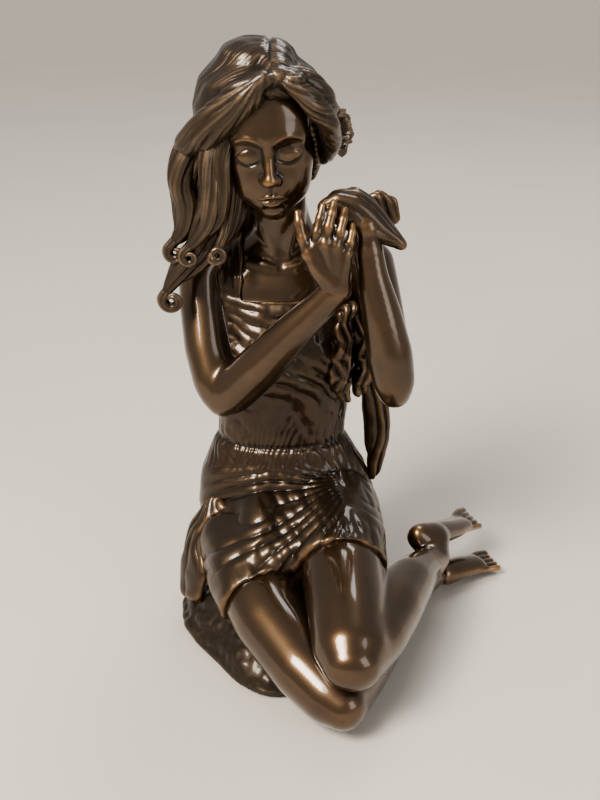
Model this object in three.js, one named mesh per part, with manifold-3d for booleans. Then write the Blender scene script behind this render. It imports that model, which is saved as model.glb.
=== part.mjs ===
// Bronze statuette of a kneeling woman in a draped gown, as the separate castings that a foundry welds together,
// with the base, the studs that hold the figure on it, and the felt under it.
// Millimetres, +Z up. The figure faces -Y. The origin is on the felt's underside.
import * as THREE from "three";
import { mergeVertices } from "three/addons/utils/BufferGeometryUtils.js";
import Module from "manifold-3d";

const wasm = await Module();
wasm.setup();

// ---- Driving dimensions --------------------------------------------------------------------------------------
const SEAM = 0.3; // clear gap between two castings
const CLOTH = 1.4; // how far the gown stands proud of the body
const FELT_THICKNESS = 2;
const BASE_HEIGHT = 44; // top of the mound, under the seat
const STUD_RADIUS = 3;
const STUD_CLEARANCE = 0.3;
const NUT_ACROSS_CORNERS = 11.5;
const NUT_THICKNESS = 5;
const WASHER_RADIUS = 6.5;
const WASHER_THICKNESS = 1.6;
const POCKET_RADIUS = 9; // counterbore in the base's underside, round each nut
const POCKET_DEPTH = 11;
const HEAD_AT = [-20, 14, 364];
const HEAD_BOW = THREE.MathUtils.degToRad(12); // forward
const HEAD_LEAN = THREE.MathUtils.degToRad(-4); // towards the right shoulder
const WAIST_Z = 138;
const NECKLINE_Z = 248;
const STRAP_WIDTH = 15;
const STRAP_THICKNESS = 1.8;

const v = (x, y, z) => new THREE.Vector3(x, y, z);
const FORWARD = v(0, -1, 0);
const UP = v(0, 0, 1);

// ---- Materials -------------------------------------------------------------------------------------------------
const finish = (color, roughness, metalness) =>
  new THREE.MeshStandardMaterial({ color, roughness, metalness });
const skinBronze = finish(0x4b3423, 0.3, 0.9);
const clothBronze = finish(0x3d2c20, 0.42, 0.88);
const hairBronze = finish(0x47352a, 0.38, 0.88);
const baseBronze = finish(0x33271f, 0.5, 0.85);
const steel = finish(0x8f9194, 0.35, 1);
const felt = finish(0x1d2620, 0.95, 0);

// ---- Lofted skins ----------------------------------------------------------------------------------------------
// A station of a loft: its centre, half its width, and its depth to the front and to the back of the centre.
const at = (x, y, z, width, front = width, back = front) => ({
  centre: v(x, y, z),
  size: v(width, front, back),
});

// A closed skin through stations. Sections are half-ellipses in front and behind, and the ends are domed.
class LoftGeometry extends THREE.BufferGeometry {
  constructor(
    stations,
    { facing = FORWARD, sides = 18, steps = 2, dome = [0.6, 0.6], grow = 0 } = {},
  ) {
    super();
    const spine = new THREE.CatmullRomCurve3(
      stations.map((s) => s.centre),
      false,
      "catmullrom",
    );
    const sizes = new THREE.CatmullRomCurve3(
      stations.map((s) => s.size),
      false,
      "catmullrom",
    );
    const spans = (stations.length - 1) * steps;
    const points = [];
    const ring = (t, shrink, slide) => {
      const along = spine.getTangent(t);
      const front = facing.clone().addScaledVector(along, -facing.dot(along)).normalize();
      const side = new THREE.Vector3().crossVectors(front, along);
      const size = sizes.getPoint(t).addScalar(grow);
      const middle = spine.getPoint(t).addScaledVector(along, slide * Math.min(size.x, size.y));
      for (let i = 0; i < sides; i++) {
        const angle = (2 * Math.PI * i) / sides;
        const depth = Math.sin(angle) > 0 ? size.y : size.z;
        points.push(
          middle
            .clone()
            .addScaledVector(side, Math.cos(angle) * size.x * shrink)
            .addScaledVector(front, Math.sin(angle) * depth * shrink),
        );
      }
      return middle;
    };
    const tip = (t, slide) => {
      const size = sizes.getPoint(t).addScalar(grow);
      return spine
        .getPoint(t)
        .addScaledVector(spine.getTangent(t), slide * Math.min(size.x, size.y));
    };
    const bend = [0.5, 0.87]; // sine and cosine of 30 and 60 degrees, for the domed ends
    ring(0, bend[0], -dome[0] * bend[1]);
    ring(0, bend[1], -dome[0] * bend[0]);
    for (let i = 0; i <= spans; i++) ring(i / spans, 1, 0);
    ring(1, bend[1], dome[1] * bend[0]);
    ring(1, bend[0], dome[1] * bend[1]);
    const rings = points.length / sides;
    const first = points.push(tip(0, -dome[0])) - 1;
    const last = points.push(tip(1, dome[1])) - 1;
    const index = [];
    for (let r = 0; r < rings - 1; r++)
      for (let i = 0; i < sides; i++) {
        const a = r * sides + i;
        const b = r * sides + ((i + 1) % sides);
        index.push(a, b, b + sides, a, b + sides, a + sides);
      }
    for (let i = 0; i < sides; i++) {
      const next = (i + 1) % sides;
      const end = (rings - 1) * sides;
      index.push(first, next, i, last, end + i, end + next);
    }
    this.setFromPoints(points);
    this.setIndex(index);
  }
}

// ---- Solids ----------------------------------------------------------------------------------------------------
function solid(geometry) {
  const bare = new THREE.BufferGeometry().copy(geometry);
  for (const name of Object.keys(bare.attributes)) if (name !== "position") bare.deleteAttribute(name);
  const merged = mergeVertices(bare, 1e-4);
  const made = new wasm.Manifold(
    new wasm.Mesh({
      numProp: 3,
      vertProperties: merged.attributes.position.array,
      triVerts: new Uint32Array(merged.index.array),
    }),
  );
  if (made.volume() > 0) return made;
  const turned = new Uint32Array(merged.index.array).reverse();
  return new wasm.Manifold(
    new wasm.Mesh({ numProp: 3, vertProperties: merged.attributes.position.array, triVerts: turned }),
  );
}
const loft = (stations, options) => solid(new LoftGeometry(stations, options));
const join = (...solids) => solids.reduce((sum, next) => sum.add(next));

// The part of a solid that lies against a plane's normal, up to reach beyond the plane.
function keepBehind(body, point, normal, reach = 0) {
  const size = 700;
  const block = new THREE.BoxGeometry(size, size, size).translate(0, 0, size / 2 + reach);
  block.applyQuaternion(new THREE.Quaternion().setFromUnitVectors(UP, normal.clone().normalize()));
  block.translate(point.x, point.y, point.z);
  return body.subtract(solid(block));
}
const cylinder = (radius, low, high, x, y, sides = 16) =>
  solid(
    new THREE.CylinderGeometry(radius, radius, high - low, sides)
      .rotateX(Math.PI / 2)
      .translate(x, y, (low + high) / 2),
  );
function ellipsoid(x, y, z, rx, ry, rz, grow = 0, detail = 12) {
  return solid(
    new THREE.SphereGeometry(1, detail, Math.round(detail * 0.7))
      .scale(rx + grow, ry + grow, rz + grow)
      .translate(x, y, z),
  );
}

// ---- Pieces ----------------------------------------------------------------------------------------------------
// build(grow) gives a piece's solid with its skin moved out by grow. Each new piece gives way to the earlier ones.
const statuette = new THREE.Group();
const earlier = [];
const boxesMeet = (a, b) => a.min.every((_, i) => a.min[i] < b.max[i] && b.min[i] < a.max[i]);

function piece(name, material, build) {
  let body = build(0);
  for (const other of earlier) {
    if (!boxesMeet(body.boundingBox(), other.grown.boundingBox())) continue;
    body = body.subtract(other.grown);
  }
  const bodies = body.decompose().sort((a, b) => b.volume() - a.volume());
  body = bodies[0];
  earlier.push({ name, grown: build(SEAM) });
  const made = body.getMesh();
  const geometry = new THREE.BufferGeometry();
  geometry.setAttribute("position", new THREE.BufferAttribute(made.vertProperties, 3));
  geometry.setIndex(new THREE.BufferAttribute(made.triVerts, 1));
  geometry.computeVertexNormals();
  const mesh = new THREE.Mesh(geometry, material);
  mesh.name = name;
  statuette.add(mesh);
}

// ---- The figure's outlines ---------------------------------------------------------------------------------------
const TRUNK = [
  at(-11, 28, 42, 50, 34, 38),
  at(-11, 27, 62, 64, 40, 47),
  at(-11, 27, 86, 66, 38, 50),
  at(-14, 28, 112, 60, 35, 42),
  at(-14, 30, 140, 46, 30, 30),
  at(-13, 32, 166, 46, 33, 29),
  at(-13, 34, 192, 52, 38, 34),
  at(-13, 36, 218, 56, 38, 38),
  at(-12, 38, 242, 58, 32, 38),
  at(-12, 39, 262, 57, 25, 32),
  at(-12, 39, 277, 42, 19, 25),
  at(-12, 36, 290, 23, 16.5, 19),
  at(-13, 31, 306, 18.5, 16.5, 18),
  at(-16, 26, 330, 18, 17, 18),
];
const RIGHT_THIGH = [
  at(-42, 24, 68, 29, 29),
  at(-42, -4, 62, 32, 30),
  at(-34, -42, 54, 31, 28),
  at(-18, -80, 44, 28.5, 25.5),
  at(5, -116, 33, 25, 23),
  at(23, -137, 25, 21.5, 20.5, 20.5),
  at(30, -147, 24, 16, 16),
];
const LEFT_THIGH = [
  at(17, 28, 82, 30, 30),
  at(24, 2, 86, 34, 31),
  at(28, -35, 81, 32, 29.5),
  at(30, -74, 72, 29, 28),
  at(32, -110, 63, 27, 26),
  at(33, -133, 56, 25.5, 24.5),
  at(33, -143, 54, 20, 19),
];
const RIGHT_SHIN = [
  at(26, -140, 23, 18, 19),
  at(40, -110, 21, 19, 18, 17.5),
  at(57, -72, 20, 18.5, 17.5, 17.5),
  at(76, -34, 18, 15, 14.5),
  at(94, 0, 16, 11.5, 12),
  at(108, 20, 14, 9.5, 10.5),
];
const LEFT_SHIN = [
  at(33, -135, 54, 22, 21),
  at(48, -108, 53, 24, 22),
  at(63, -76, 53, 23.5, 22),
  at(79, -44, 51, 19.5, 19),
  at(94, -17, 46, 14, 14),
  at(106, 0, 43, 11, 11.5),
];
const RIGHT_UPPER_ARM = [
  at(-56, 39, 277, 14, 15),
  at(-70, 35, 262, 19, 19),
  at(-69, 24, 240, 17.5, 17.5),
  at(-66, 8, 213, 16.5, 16.5),
  at(-60, -4, 192, 16, 15.5),
  at(-56, -9, 181, 13.5, 13.5),
];
const RIGHT_FOREARM = [
  at(-59, -8, 178, 12.5, 13),
  at(-48, -12, 187, 16.5, 15.5),
  at(-27, -19, 211, 16.5, 15),
  at(-2, -27, 241, 13, 12),
  at(17, -33, 262, 10.8, 9),
  at(24, -35, 271, 11, 8),
];
const LEFT_UPPER_ARM = [
  at(36, 39, 281, 14, 15),
  at(50, 34, 268, 18, 18.5),
  at(56, 17, 246, 16, 16.5),
  at(61, -6, 222, 15, 15),
  at(63, -23, 204, 14.5, 14.5),
  at(64, -31, 194, 12, 12),
];
const LEFT_FOREARM = [
  at(65, -31, 190, 11, 11.5),
  at(64, -32, 202, 15, 15),
  at(60, -31, 224, 16, 15.5),
  at(54, -29, 250, 14, 13.5),
  at(47, -26, 277, 11, 10),
  at(43, -24, 298, 10.5, 8.5),
];

const HEAD_STATIONS = [
  at(0, -22, -50, 11, 8, 10),
  at(0, -19, -43, 18, 15, 17),
  at(0, -12, -31, 24.5, 23, 26),
  at(0, -6, -16, 28.5, 29, 34),
  at(0, 0, 0, 30.5, 34, 40),
  at(0, 2, 14, 31, 35.5, 42),
  at(0, 4, 28, 28, 33, 38),
  at(0, 5, 38, 20, 24, 28),
];
const HAIR_STATIONS = [
  at(-2, 10, -40, 31, 24, 36),
  at(-4, 7, -22, 40, 30, 42),
  at(-5, 6, 0, 43.5, 36, 46),
  at(-5, 6, 18, 43, 38, 47),
  at(-5, 7, 32, 38, 35, 42),
  at(-4, 8, 43, 26, 25, 29),
];

const placeHead = new THREE.Matrix4()
  .makeRotationFromEuler(new THREE.Euler(HEAD_BOW, HEAD_LEAN, 0))
  .setPosition(...HEAD_AT);
const inHead = (body) => body.transform(placeHead.elements);

// ---- Seam planes -------------------------------------------------------------------------------------------------
const seam = (x, y, z, nx, ny, nz) => ({ point: v(x, y, z), normal: v(nx, ny, nz).normalize() });
const WAIST = seam(0, 0, WAIST_Z, 0, 0, 1);
const NECKLINE = seam(0, 0, NECKLINE_Z, 0, 0.1, 1);
const RIGHT_HEM = seam(-27, -60, 49, 0.42, -0.87, -0.28);
const LEFT_HEM = seam(28, -62, 75, 0.03, -0.97, -0.22);
const RIGHT_KNEE = seam(25, -141, 22, 0.93, 0, -0.36);
const LEFT_KNEE = seam(33, -136, 55, 0.86, -0.21, -0.46);
const RIGHT_ELBOW = seam(-57, -8, 184, 0.785, -0.605, -0.135);
const LEFT_ELBOW = seam(64, -30, 199, -0.15, -0.92, 0.36);

const before = (body, { point, normal }, grow) => keepBehind(body, point, normal, grow);
const beyond = (body, { point, normal }, grow) =>
  keepBehind(body, point, normal.clone().negate(), grow);
const LEG = { facing: UP, sides: 18, steps: 1, dome: [0.5, 0.75] };
const ARM = { sides: 14, steps: 1, dome: [0.5, 0.6] };
const trunk = (grow) => loft(TRUNK, { sides: 24, steps: 1, grow });
const leg = (stations, grow) => loft(stations, { ...LEG, grow });
const arm = (stations, grow) => loft(stations, { ...ARM, grow });

// ---- Base, felt and fixings ----------------------------------------------------------------------------------------
const BASE_OUTLINE = [
  [-92, 8], [-85, -42], [-60, -79], [-43, -101], [-22, -113], [2, -108],
  [26, -82], [52, -44], [72, -8], [68, 40], [34, 78], [-22, 88], [-70, 62],
];
const BASE_MIDDLE = [-14, 4];
// Height of each level of the mound, and its outline's size as a share of the foot's.
const BASE_LEVELS = [
  [0, 0.985], [2.5, 1], [6, 0.985], [20, 0.87], [34, 0.7], [42, 0.35],
];
function baseLevel(share, height) {
  const curve = new THREE.CatmullRomCurve3(
    BASE_OUTLINE.map(([x, y]) =>
      v(
        BASE_MIDDLE[0] + (x - BASE_MIDDLE[0]) * share,
        BASE_MIDDLE[1] + (y - BASE_MIDDLE[1]) * share,
        height,
      ),
    ),
    true,
  );
  return curve.getPoints(39).slice(0, -1);
}
// A closed skin over level rings, flat at both ends.
function stack(levels) {
  const sides = levels[0].length;
  const points = levels.flat();
  const middle = (level) =>
    level.reduce((sum, p) => sum.add(p), v(0, 0, 0)).divideScalar(level.length);
  const low = points.push(middle(levels[0])) - 1;
  const high = points.push(middle(levels.at(-1))) - 1;
  const index = [];
  for (let i = 0; i < sides; i++) {
    const next = (i + 1) % sides;
    for (let r = 0; r < levels.length - 1; r++) {
      const a = r * sides + i;
      const b = r * sides + next;
      index.push(a, b, b + sides, a, b + sides, a + sides);
    }
    const top = (levels.length - 1) * sides;
    index.push(low, next, i, high, top + i, top + next);
  }
  return solid(new THREE.BufferGeometry().setFromPoints(points).setIndex(index));
}
const BASE_BOTTOM = FELT_THICKNESS + SEAM;
const STUDS = [
  { name: "seat_stud", x: -11, y: 34, top: 78 },
  { name: "thigh_stud", x: -26, y: -35, top: 62 },
];
const NUT_LOW = BASE_BOTTOM + 2.2;
const WASHER_LOW = NUT_LOW + NUT_THICKNESS + SEAM;
for (const { name, x, y, top } of STUDS) {
  piece(name, steel, (grow) =>
    cylinder(STUD_RADIUS + (grow ? STUD_CLEARANCE : 0), BASE_BOTTOM + 1, top + grow, x, y),
  );
  piece(name.replace("stud", "nut"), steel, (grow) =>
    cylinder(NUT_ACROSS_CORNERS / 2 + grow, NUT_LOW - grow, NUT_LOW + NUT_THICKNESS + grow, x, y, 6),
  );
  piece(name.replace("stud", "washer"), steel, (grow) =>
    cylinder(WASHER_RADIUS + grow, WASHER_LOW - grow, WASHER_LOW + WASHER_THICKNESS + grow, x, y),
  );
}
piece("felt_pad", felt, (grow) =>
  stack([baseLevel(0.95, -grow), baseLevel(0.95, FELT_THICKNESS + grow)]),
);

// ---- The figure ------------------------------------------------------------------------------------------------------
piece("head", skinBronze, (grow) =>
  inHead(
    join(
      loft(HEAD_STATIONS, { sides: 20, steps: 1, grow, dome: [0.5, 0.6] }),
      loft(
        [at(0, -33, -1, 2.6, 3), at(0, -37, -9, 3.2, 3.6), at(0, -40, -17, 5, 4.4), at(0, -34, -21, 4, 4)],
        { sides: 8, steps: 1, grow },
      ),
    ),
  ),
);
piece("neck_and_shoulders", skinBronze, (grow) => beyond(trunk(grow), NECKLINE, grow));
piece("gown_bodice", clothBronze, (grow) =>
  join(
    beyond(before(trunk(grow + CLOTH), NECKLINE, grow), WAIST, grow),
    ellipsoid(-34, 13, 208, 21, 17, 20, grow),
    ellipsoid(8, 13, 208, 21, 17, 20, grow),
  ),
);
// A shoulder strap: a thin band of the trunk's own outline, over the shoulder from neckline to neckline.
for (const [side, x] of [["right", -50], ["left", 27]])
  piece(`gown_strap_${side}`, clothBronze, (grow) => {
    const band = new THREE.BoxGeometry(STRAP_WIDTH + 2 * grow, 120, 90).translate(x, 36, NECKLINE_Z + 45);
    const below = keepBehind(solid(band), NECKLINE.point, NECKLINE.normal.clone().negate(), -SEAM);
    return trunk(grow + STRAP_THICKNESS).intersect(below);
  });
piece("gown_skirt", clothBronze, (grow) =>
  join(
    before(trunk(grow + CLOTH), WAIST, grow),
    before(leg(RIGHT_THIGH, grow + CLOTH), RIGHT_HEM, grow),
    before(leg(LEFT_THIGH, grow + CLOTH), LEFT_HEM, grow),
  ),
);
piece("right_thigh", skinBronze, (grow) =>
  before(beyond(leg(RIGHT_THIGH, grow), RIGHT_HEM, grow), RIGHT_KNEE, grow),
);
piece("left_thigh", skinBronze, (grow) =>
  before(beyond(leg(LEFT_THIGH, grow), LEFT_HEM, grow), LEFT_KNEE, grow),
);
piece("right_shin", skinBronze, (grow) =>
  beyond(join(leg(RIGHT_SHIN, grow), leg(RIGHT_THIGH, grow)), RIGHT_KNEE, grow),
);
piece("left_shin", skinBronze, (grow) =>
  beyond(join(leg(LEFT_SHIN, grow), leg(LEFT_THIGH, grow)), LEFT_KNEE, grow),
);

const TOE_RADIUS = 2.4;
// Five toes side by side at the end of a foot, the big toe first.
function toes(root, across, along, grow) {
  return join(
    ...[0, 1, 2, 3, 4].map((i) => {
      const start = root.clone().addScaledVector(across, i);
      const reach = i === 0 ? 1 : 0.95 - i * 0.09;
      const end = start.clone().addScaledVector(along, reach);
      const radius = i === 0 ? TOE_RADIUS * 1.35 : TOE_RADIUS - i * 0.12;
      return loft(
        [at(start.x, start.y, start.z, radius), at(end.x, end.y, end.z, radius * 0.9)],
        { facing: UP, sides: 6, steps: 1, grow, dome: [1, 1] },
      );
    }),
  );
}
piece("right_foot", skinBronze, (grow) =>
  join(
    leg(
      [at(98, 8, 14, 9.5, 11), at(113, 20, 14, 10.5, 10.5), at(132, 33, 12, 11.5, 8.5, 8), at(147, 43, 9.5, 12, 6)],
      grow,
    ),
    toes(v(143, 52, 8.5), v(3.4, -4.2, -0.2), v(12.5, 8.5, -2), grow),
  ),
);
piece("left_foot", skinBronze, (grow) =>
  join(
    leg(
      [at(88, 4, 60, 8, 9), at(95, 9, 57, 10.5, 10.5), at(108, 22, 51, 10.5, 10), at(124, 42, 44, 11.5, 7.5), at(134, 57, 40, 12, 5)],
      grow,
    ),
    leg([at(103, -4, 42, 9.6, 10), at(105, 6, 47, 9.6, 10), at(106, 16, 50, 8, 8)], grow),
    toes(v(129, 66, 41), v(3.9, -3.2, -1.2), v(9, 13, -3.5), grow),
  ),
);

piece("right_upper_arm", skinBronze, (grow) =>
  before(arm(RIGHT_UPPER_ARM, grow), RIGHT_ELBOW, grow),
);
piece("left_upper_arm", skinBronze, (grow) => before(arm(LEFT_UPPER_ARM, grow), LEFT_ELBOW, grow));
piece("right_forearm", skinBronze, (grow) =>
  join(arm(RIGHT_FOREARM, grow), beyond(arm(RIGHT_UPPER_ARM, grow), RIGHT_ELBOW, grow)),
);
piece("left_forearm", skinBronze, (grow) =>
  join(arm(LEFT_FOREARM, grow), beyond(arm(LEFT_UPPER_ARM, grow), LEFT_ELBOW, grow)),
);

const FINGER = { sides: 6, steps: 1, dome: [0.9, 0.9] };
const finger = (points, radius, grow) =>
  loft(
    points.map(([x, y, z], i) => at(x, y, z, radius * (1 - 0.09 * i))),
    { ...FINGER, grow },
  );
piece("right_hand", skinBronze, (grow) =>
  join(
    loft(
      [at(25, -36, 271, 10.5, 7.5), at(22, -38, 282, 14.5, 7), at(19, -39, 294, 16.5, 6.5), at(18, -38, 299, 15.5, 5)],
      { sides: 10, steps: 1, grow },
    ),
    finger([[8, -37, 298], [10, -37, 311], [14, -32, 324]], 3.4, grow),
    finger([[15.5, -38, 300], [18, -37, 313], [21, -32, 323]], 3.5, grow),
    finger([[23, -38, 299], [25.5, -36, 309], [28, -31, 316]], 3.3, grow),
    finger([[29.5, -37, 293], [32, -35, 301], [33, -31, 307]], 2.9, grow),
    finger([[12, -38, 281], [4, -38, 294], [1, -36, 307], [-1, -34, 318]], 3.9, grow),
  ),
);
piece("left_hand", skinBronze, (grow) =>
  join(
    loft(
      [at(43, -23, 299, 10, 8), at(41, -21, 309, 11, 7.5), at(34, -19, 316, 11, 7), at(26, -18, 316, 10, 6)],
      { sides: 8, steps: 1, grow },
    ),
    finger([[24, -24, 315], [16, -23, 312], [12, -21, 304]], 3.2, grow),
    finger([[24, -17, 316], [15, -16, 313], [11, -14, 305]], 3.3, grow),
    finger([[25, -11, 315], [17, -9, 312], [13, -8, 304]], 3.1, grow),
  ),
);

// ---- Hair --------------------------------------------------------------------------------------------------------------
const faceWindow = (grow) =>
  inHead(
    join(
      ellipsoid(1, -38, -14, 29 - grow, 34, 46 - grow, 0, 14),
      ellipsoid(10, -34, -40, 36 - grow, 40, 30 - grow, 0, 12),
    ),
  );
piece("hair_crown", hairBronze, (grow) =>
  inHead(loft(HAIR_STATIONS, { sides: 22, steps: 1, grow, dome: [0.2, 0.5] })).subtract(faceWindow(grow)),
);
const lock = (stations, grow, facing = FORWARD, sides = 8) =>
  loft(stations, { facing, sides, steps: 1, grow, dome: [0.5, 0.8] });
// A curl: the lock's end, rolled into a short coil seen from the front.
function curl(x, y, z, radius, turn, grow) {
  const count = 6;
  const stations = [];
  for (let i = 0; i <= count; i++) {
    const angle = turn * (i / count) * 1.6 * Math.PI;
    const reach = radius * (1 - (0.6 * i) / count);
    const thick = radius * (0.62 - (0.2 * i) / count);
    stations.push(
      at(x + turn * reach * -Math.cos(angle), y - i * 0.25, z + reach * -Math.sin(angle) * turn, thick),
    );
  }
  return loft(stations, { sides: 6, steps: 1, grow, dome: [0.8, 0.9] });
}
piece("hair_back", hairBronze, (grow) =>
  lock(
    [
      at(-30, 52, 372, 30, 14, 12),
      at(-38, 60, 335, 31, 15, 15),
      at(-44, 68, 298, 31, 14, 14),
      at(-47, 75, 262, 27, 11, 11),
      at(-47, 77, 232, 18, 8, 8),
      at(-46, 75, 216, 8, 5, 5),
    ],
    grow,
    FORWARD,
    18,
  ),
);
piece("hair_front_sweep", hairBronze, (grow) =>
  lock(
    [
      at(-20, -26, 399, 5, 5),
      at(-34, -24, 388, 10, 6.5),
      at(-49, -19, 375, 12, 7),
      at(-63, -13, 363, 11, 7),
      at(-73, -6, 356, 8, 5),
      at(-79, 2, 350, 4, 3.5),
    ],
    grow,
  ),
);
piece("hair_lock_long", hairBronze, (grow) =>
  join(
    lock(
      [
        at(-58, 6, 362, 9, 9),
        at(-70, 2, 346, 11, 9),
        at(-75, 2, 330, 10, 8),
        at(-76, 2, 314, 9, 7),
        at(-80, 1, 300, 7, 6),
        at(-87, -2, 290, 4.5, 4.5),
      ],
      grow,
    ),
    curl(-92, -4, 287, 4.6, 1, grow),
  ),
);
piece("hair_lock_middle", hairBronze, (grow) =>
  join(
    lock(
      [
        at(-50, -10, 360, 7, 6),
        at(-56, -12, 344, 8, 6.5),
        at(-57, -12, 326, 8, 6.5),
        at(-61, -10, 309, 7.5, 6),
        at(-69, -9, 296, 6, 5),
        at(-76, -9, 289, 4, 4),
      ],
      grow,
    ),
    curl(-80, -10, 285, 4.4, 1, grow),
  ),
);
piece("hair_lock_shoulder", hairBronze, (grow) =>
  join(
    lock(
      [
        at(-44, 12, 322, 11, 10),
        at(-52, 8, 306, 12, 9),
        at(-64, 4, 290, 11, 8),
        at(-77, 2, 276, 8.5, 7),
        at(-88, -1, 262, 6, 5.5),
        at(-93, -3, 254, 4, 4),
      ],
      grow,
    ),
    curl(-89, -5, 250, 5, -1, grow),
  ),
);
piece("hair_lock_inner", hairBronze, (grow) =>
  join(
    lock(
      [
        at(-41, 0, 340, 6, 6),
        at(-43, -1, 322, 6, 6),
        at(-47, -5, 306, 5, 5),
        at(-53, -10, 292, 4, 4),
        at(-58, -13, 284, 3.4, 3.4),
      ],
      grow,
    ),
    curl(-54, -15, 280, 4.4, -1, grow),
  ),
);
piece("hair_left_side", hairBronze, (grow) =>
  lock(
    [
      at(-6, -27, 398, 5, 5),
      at(8, -22, 384, 7, 6),
      at(18, -12, 370, 7, 6),
      at(21, 2, 357, 6.5, 6),
      at(17, 14, 346, 5, 5),
    ],
    grow,
    v(0.6, -0.8, 0),
  ),
);
const FLOWER = v(21, 23, 362);
const PETALS = 5;
piece("hair_flower", hairBronze, (grow) => {
  const facing = v(0.75, -0.55, 0.3).normalize();
  const turn = new THREE.Quaternion().setFromUnitVectors(UP, facing);
  const petal = (angle, reach, size, lift) => {
    const place = v(Math.cos(angle) * reach, Math.sin(angle) * reach, lift).applyQuaternion(turn).add(FLOWER);
    const shape = new THREE.SphereGeometry(1, 8, 5).scale(size + grow, size + grow, 2.6 + grow);
    shape.rotateY(-0.45).rotateZ(angle).applyQuaternion(turn).translate(place.x, place.y, place.z);
    return solid(shape);
  };
  const petals = [];
  for (let i = 0; i < PETALS; i++) {
    petals.push(petal((i * 2 * Math.PI) / PETALS, 9, 9, 0));
  }
  return join(...petals, ellipsoid(FLOWER.x, FLOWER.y, FLOWER.z, 6, 6, 6, grow, 8));
});

// ---- Scarf and side fold ---------------------------------------------------------------------------------------------------
piece("scarf_over_hand", clothBronze, (grow) =>
  join(
    lock(
      [
        at(16, -19, 318, 5, 6),
        at(23, -18, 322, 8, 9),
        at(33, -15, 321, 11, 12),
        at(42, -14, 315, 10, 12),
        at(51, -16, 308, 7, 9),
        at(59, -19, 302, 4.6, 6),
        at(67, -22, 295, 3, 3.2),
      ],
      grow,
      FORWARD,
      14,
    ),
    lock(
      [at(42, 0, 316, 4, 5), at(50, 4, 317, 10, 4), at(58, 6, 313, 10, 3.2), at(64, 6, 304, 5, 2.6)],
      grow,
    ),
  ),
);
piece("scarf_gathers", clothBronze, (grow) =>
  join(
    lock(
      [at(31, 6, 240, 5), at(31, 5, 224, 7.5, 6), at(28, 4, 206, 8.5, 6), at(28, 4, 190, 7.5, 5.5), at(33, 4, 176, 5, 4)],
      grow,
    ),
    lock(
      [at(37, 12, 240, 5), at(44, 14, 222, 8, 7), at(47, 16, 204, 8.5, 7), at(46, 17, 188, 7, 6), at(42, 16, 176, 4, 4)],
      grow,
    ),
    lock([at(32, 6, 240, 5), at(36, 9, 241, 6), at(40, 13, 240, 5)], grow, UP),
  ),
);
piece("scarf_tail", clothBronze, (grow) =>
  lock(
    [
      at(48, 24, 200, 6, 5),
      at(54, 28, 178, 9, 6.5),
      at(58, 31, 154, 10.5, 7),
      at(59, 32, 130, 9.5, 6),
      at(58, 31, 110, 6.5, 5),
      at(57, 30, 98, 3, 3),
    ],
    grow,
  ),
);
piece("gown_side_fold", clothBronze, (grow) =>
  lock(
    [
      at(-60, 2, 92, 14, 6),
      at(-74, -6, 68, 18, 6),
      at(-80, -14, 46, 18, 5.5),
      at(-83, -21, 24, 14, 5),
    ],
    grow,
    v(-0.75, -0.5, 0.4),
    14,
  ),
);
piece("base_mound", baseBronze, () => {
  const levels = BASE_LEVELS.map(([height, share]) =>
    baseLevel(share, BASE_BOTTOM + (height * (BASE_HEIGHT - BASE_BOTTOM)) / 42),
  );
  let body = stack(levels);
  for (const { x, y } of STUDS)
    body = body.subtract(cylinder(POCKET_RADIUS, BASE_BOTTOM - 1, BASE_BOTTOM + POCKET_DEPTH, x, y));
  return body;
});

export default statuette;
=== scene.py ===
"""Blender looks of the bronze statuette, sculpted round its packed castings.

The castings are turned into clay, a grid of signed distances. The clay is smoothed, given its details and
meshed, and the mesh is shared out again among the castings, so that their seams vanish as they do on the real
bronze. Lengths in the sculpting are in millimetres. Blender's are in metres.
"""

import itertools
import math

import bmesh
import bpy
import numpy as np
import openvdb as vdb
from mathutils import Matrix, Vector


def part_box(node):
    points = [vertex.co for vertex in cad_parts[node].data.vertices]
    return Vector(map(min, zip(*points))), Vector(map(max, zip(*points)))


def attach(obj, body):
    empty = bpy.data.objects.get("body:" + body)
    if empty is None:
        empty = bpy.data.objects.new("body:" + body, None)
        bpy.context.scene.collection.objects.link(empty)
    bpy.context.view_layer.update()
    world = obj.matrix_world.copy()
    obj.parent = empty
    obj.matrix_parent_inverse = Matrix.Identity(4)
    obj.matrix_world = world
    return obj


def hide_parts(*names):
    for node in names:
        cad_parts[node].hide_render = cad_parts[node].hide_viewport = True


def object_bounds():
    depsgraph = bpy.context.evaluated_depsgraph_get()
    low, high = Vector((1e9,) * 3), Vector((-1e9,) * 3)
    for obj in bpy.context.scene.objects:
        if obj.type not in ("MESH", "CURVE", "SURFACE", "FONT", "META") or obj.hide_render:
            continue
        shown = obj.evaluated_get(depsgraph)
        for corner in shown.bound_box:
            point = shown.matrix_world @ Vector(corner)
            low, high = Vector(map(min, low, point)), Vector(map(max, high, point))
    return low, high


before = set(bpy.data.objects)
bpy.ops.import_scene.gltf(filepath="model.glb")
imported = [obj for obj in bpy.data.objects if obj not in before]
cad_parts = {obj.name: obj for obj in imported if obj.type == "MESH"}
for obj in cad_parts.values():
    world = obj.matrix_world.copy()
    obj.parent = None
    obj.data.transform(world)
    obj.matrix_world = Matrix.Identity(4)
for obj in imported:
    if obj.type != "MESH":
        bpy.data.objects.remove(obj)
CAD_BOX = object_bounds()
MM = 0.001

REACH = 8.0  # clay knows its distances this far from its surface

# The space between a clay's grid points.
BODY_STEP = 1.0
CLOTH_STEP = 0.9
HAIR_STEP = 0.65
FINE_STEP = 0.45
BASE_STEP = 1.0


def box_mm(node):
    """The low and high corners of a CAD node."""
    low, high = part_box(node)
    return np.array(low) / MM, np.array(high) / MM


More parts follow.
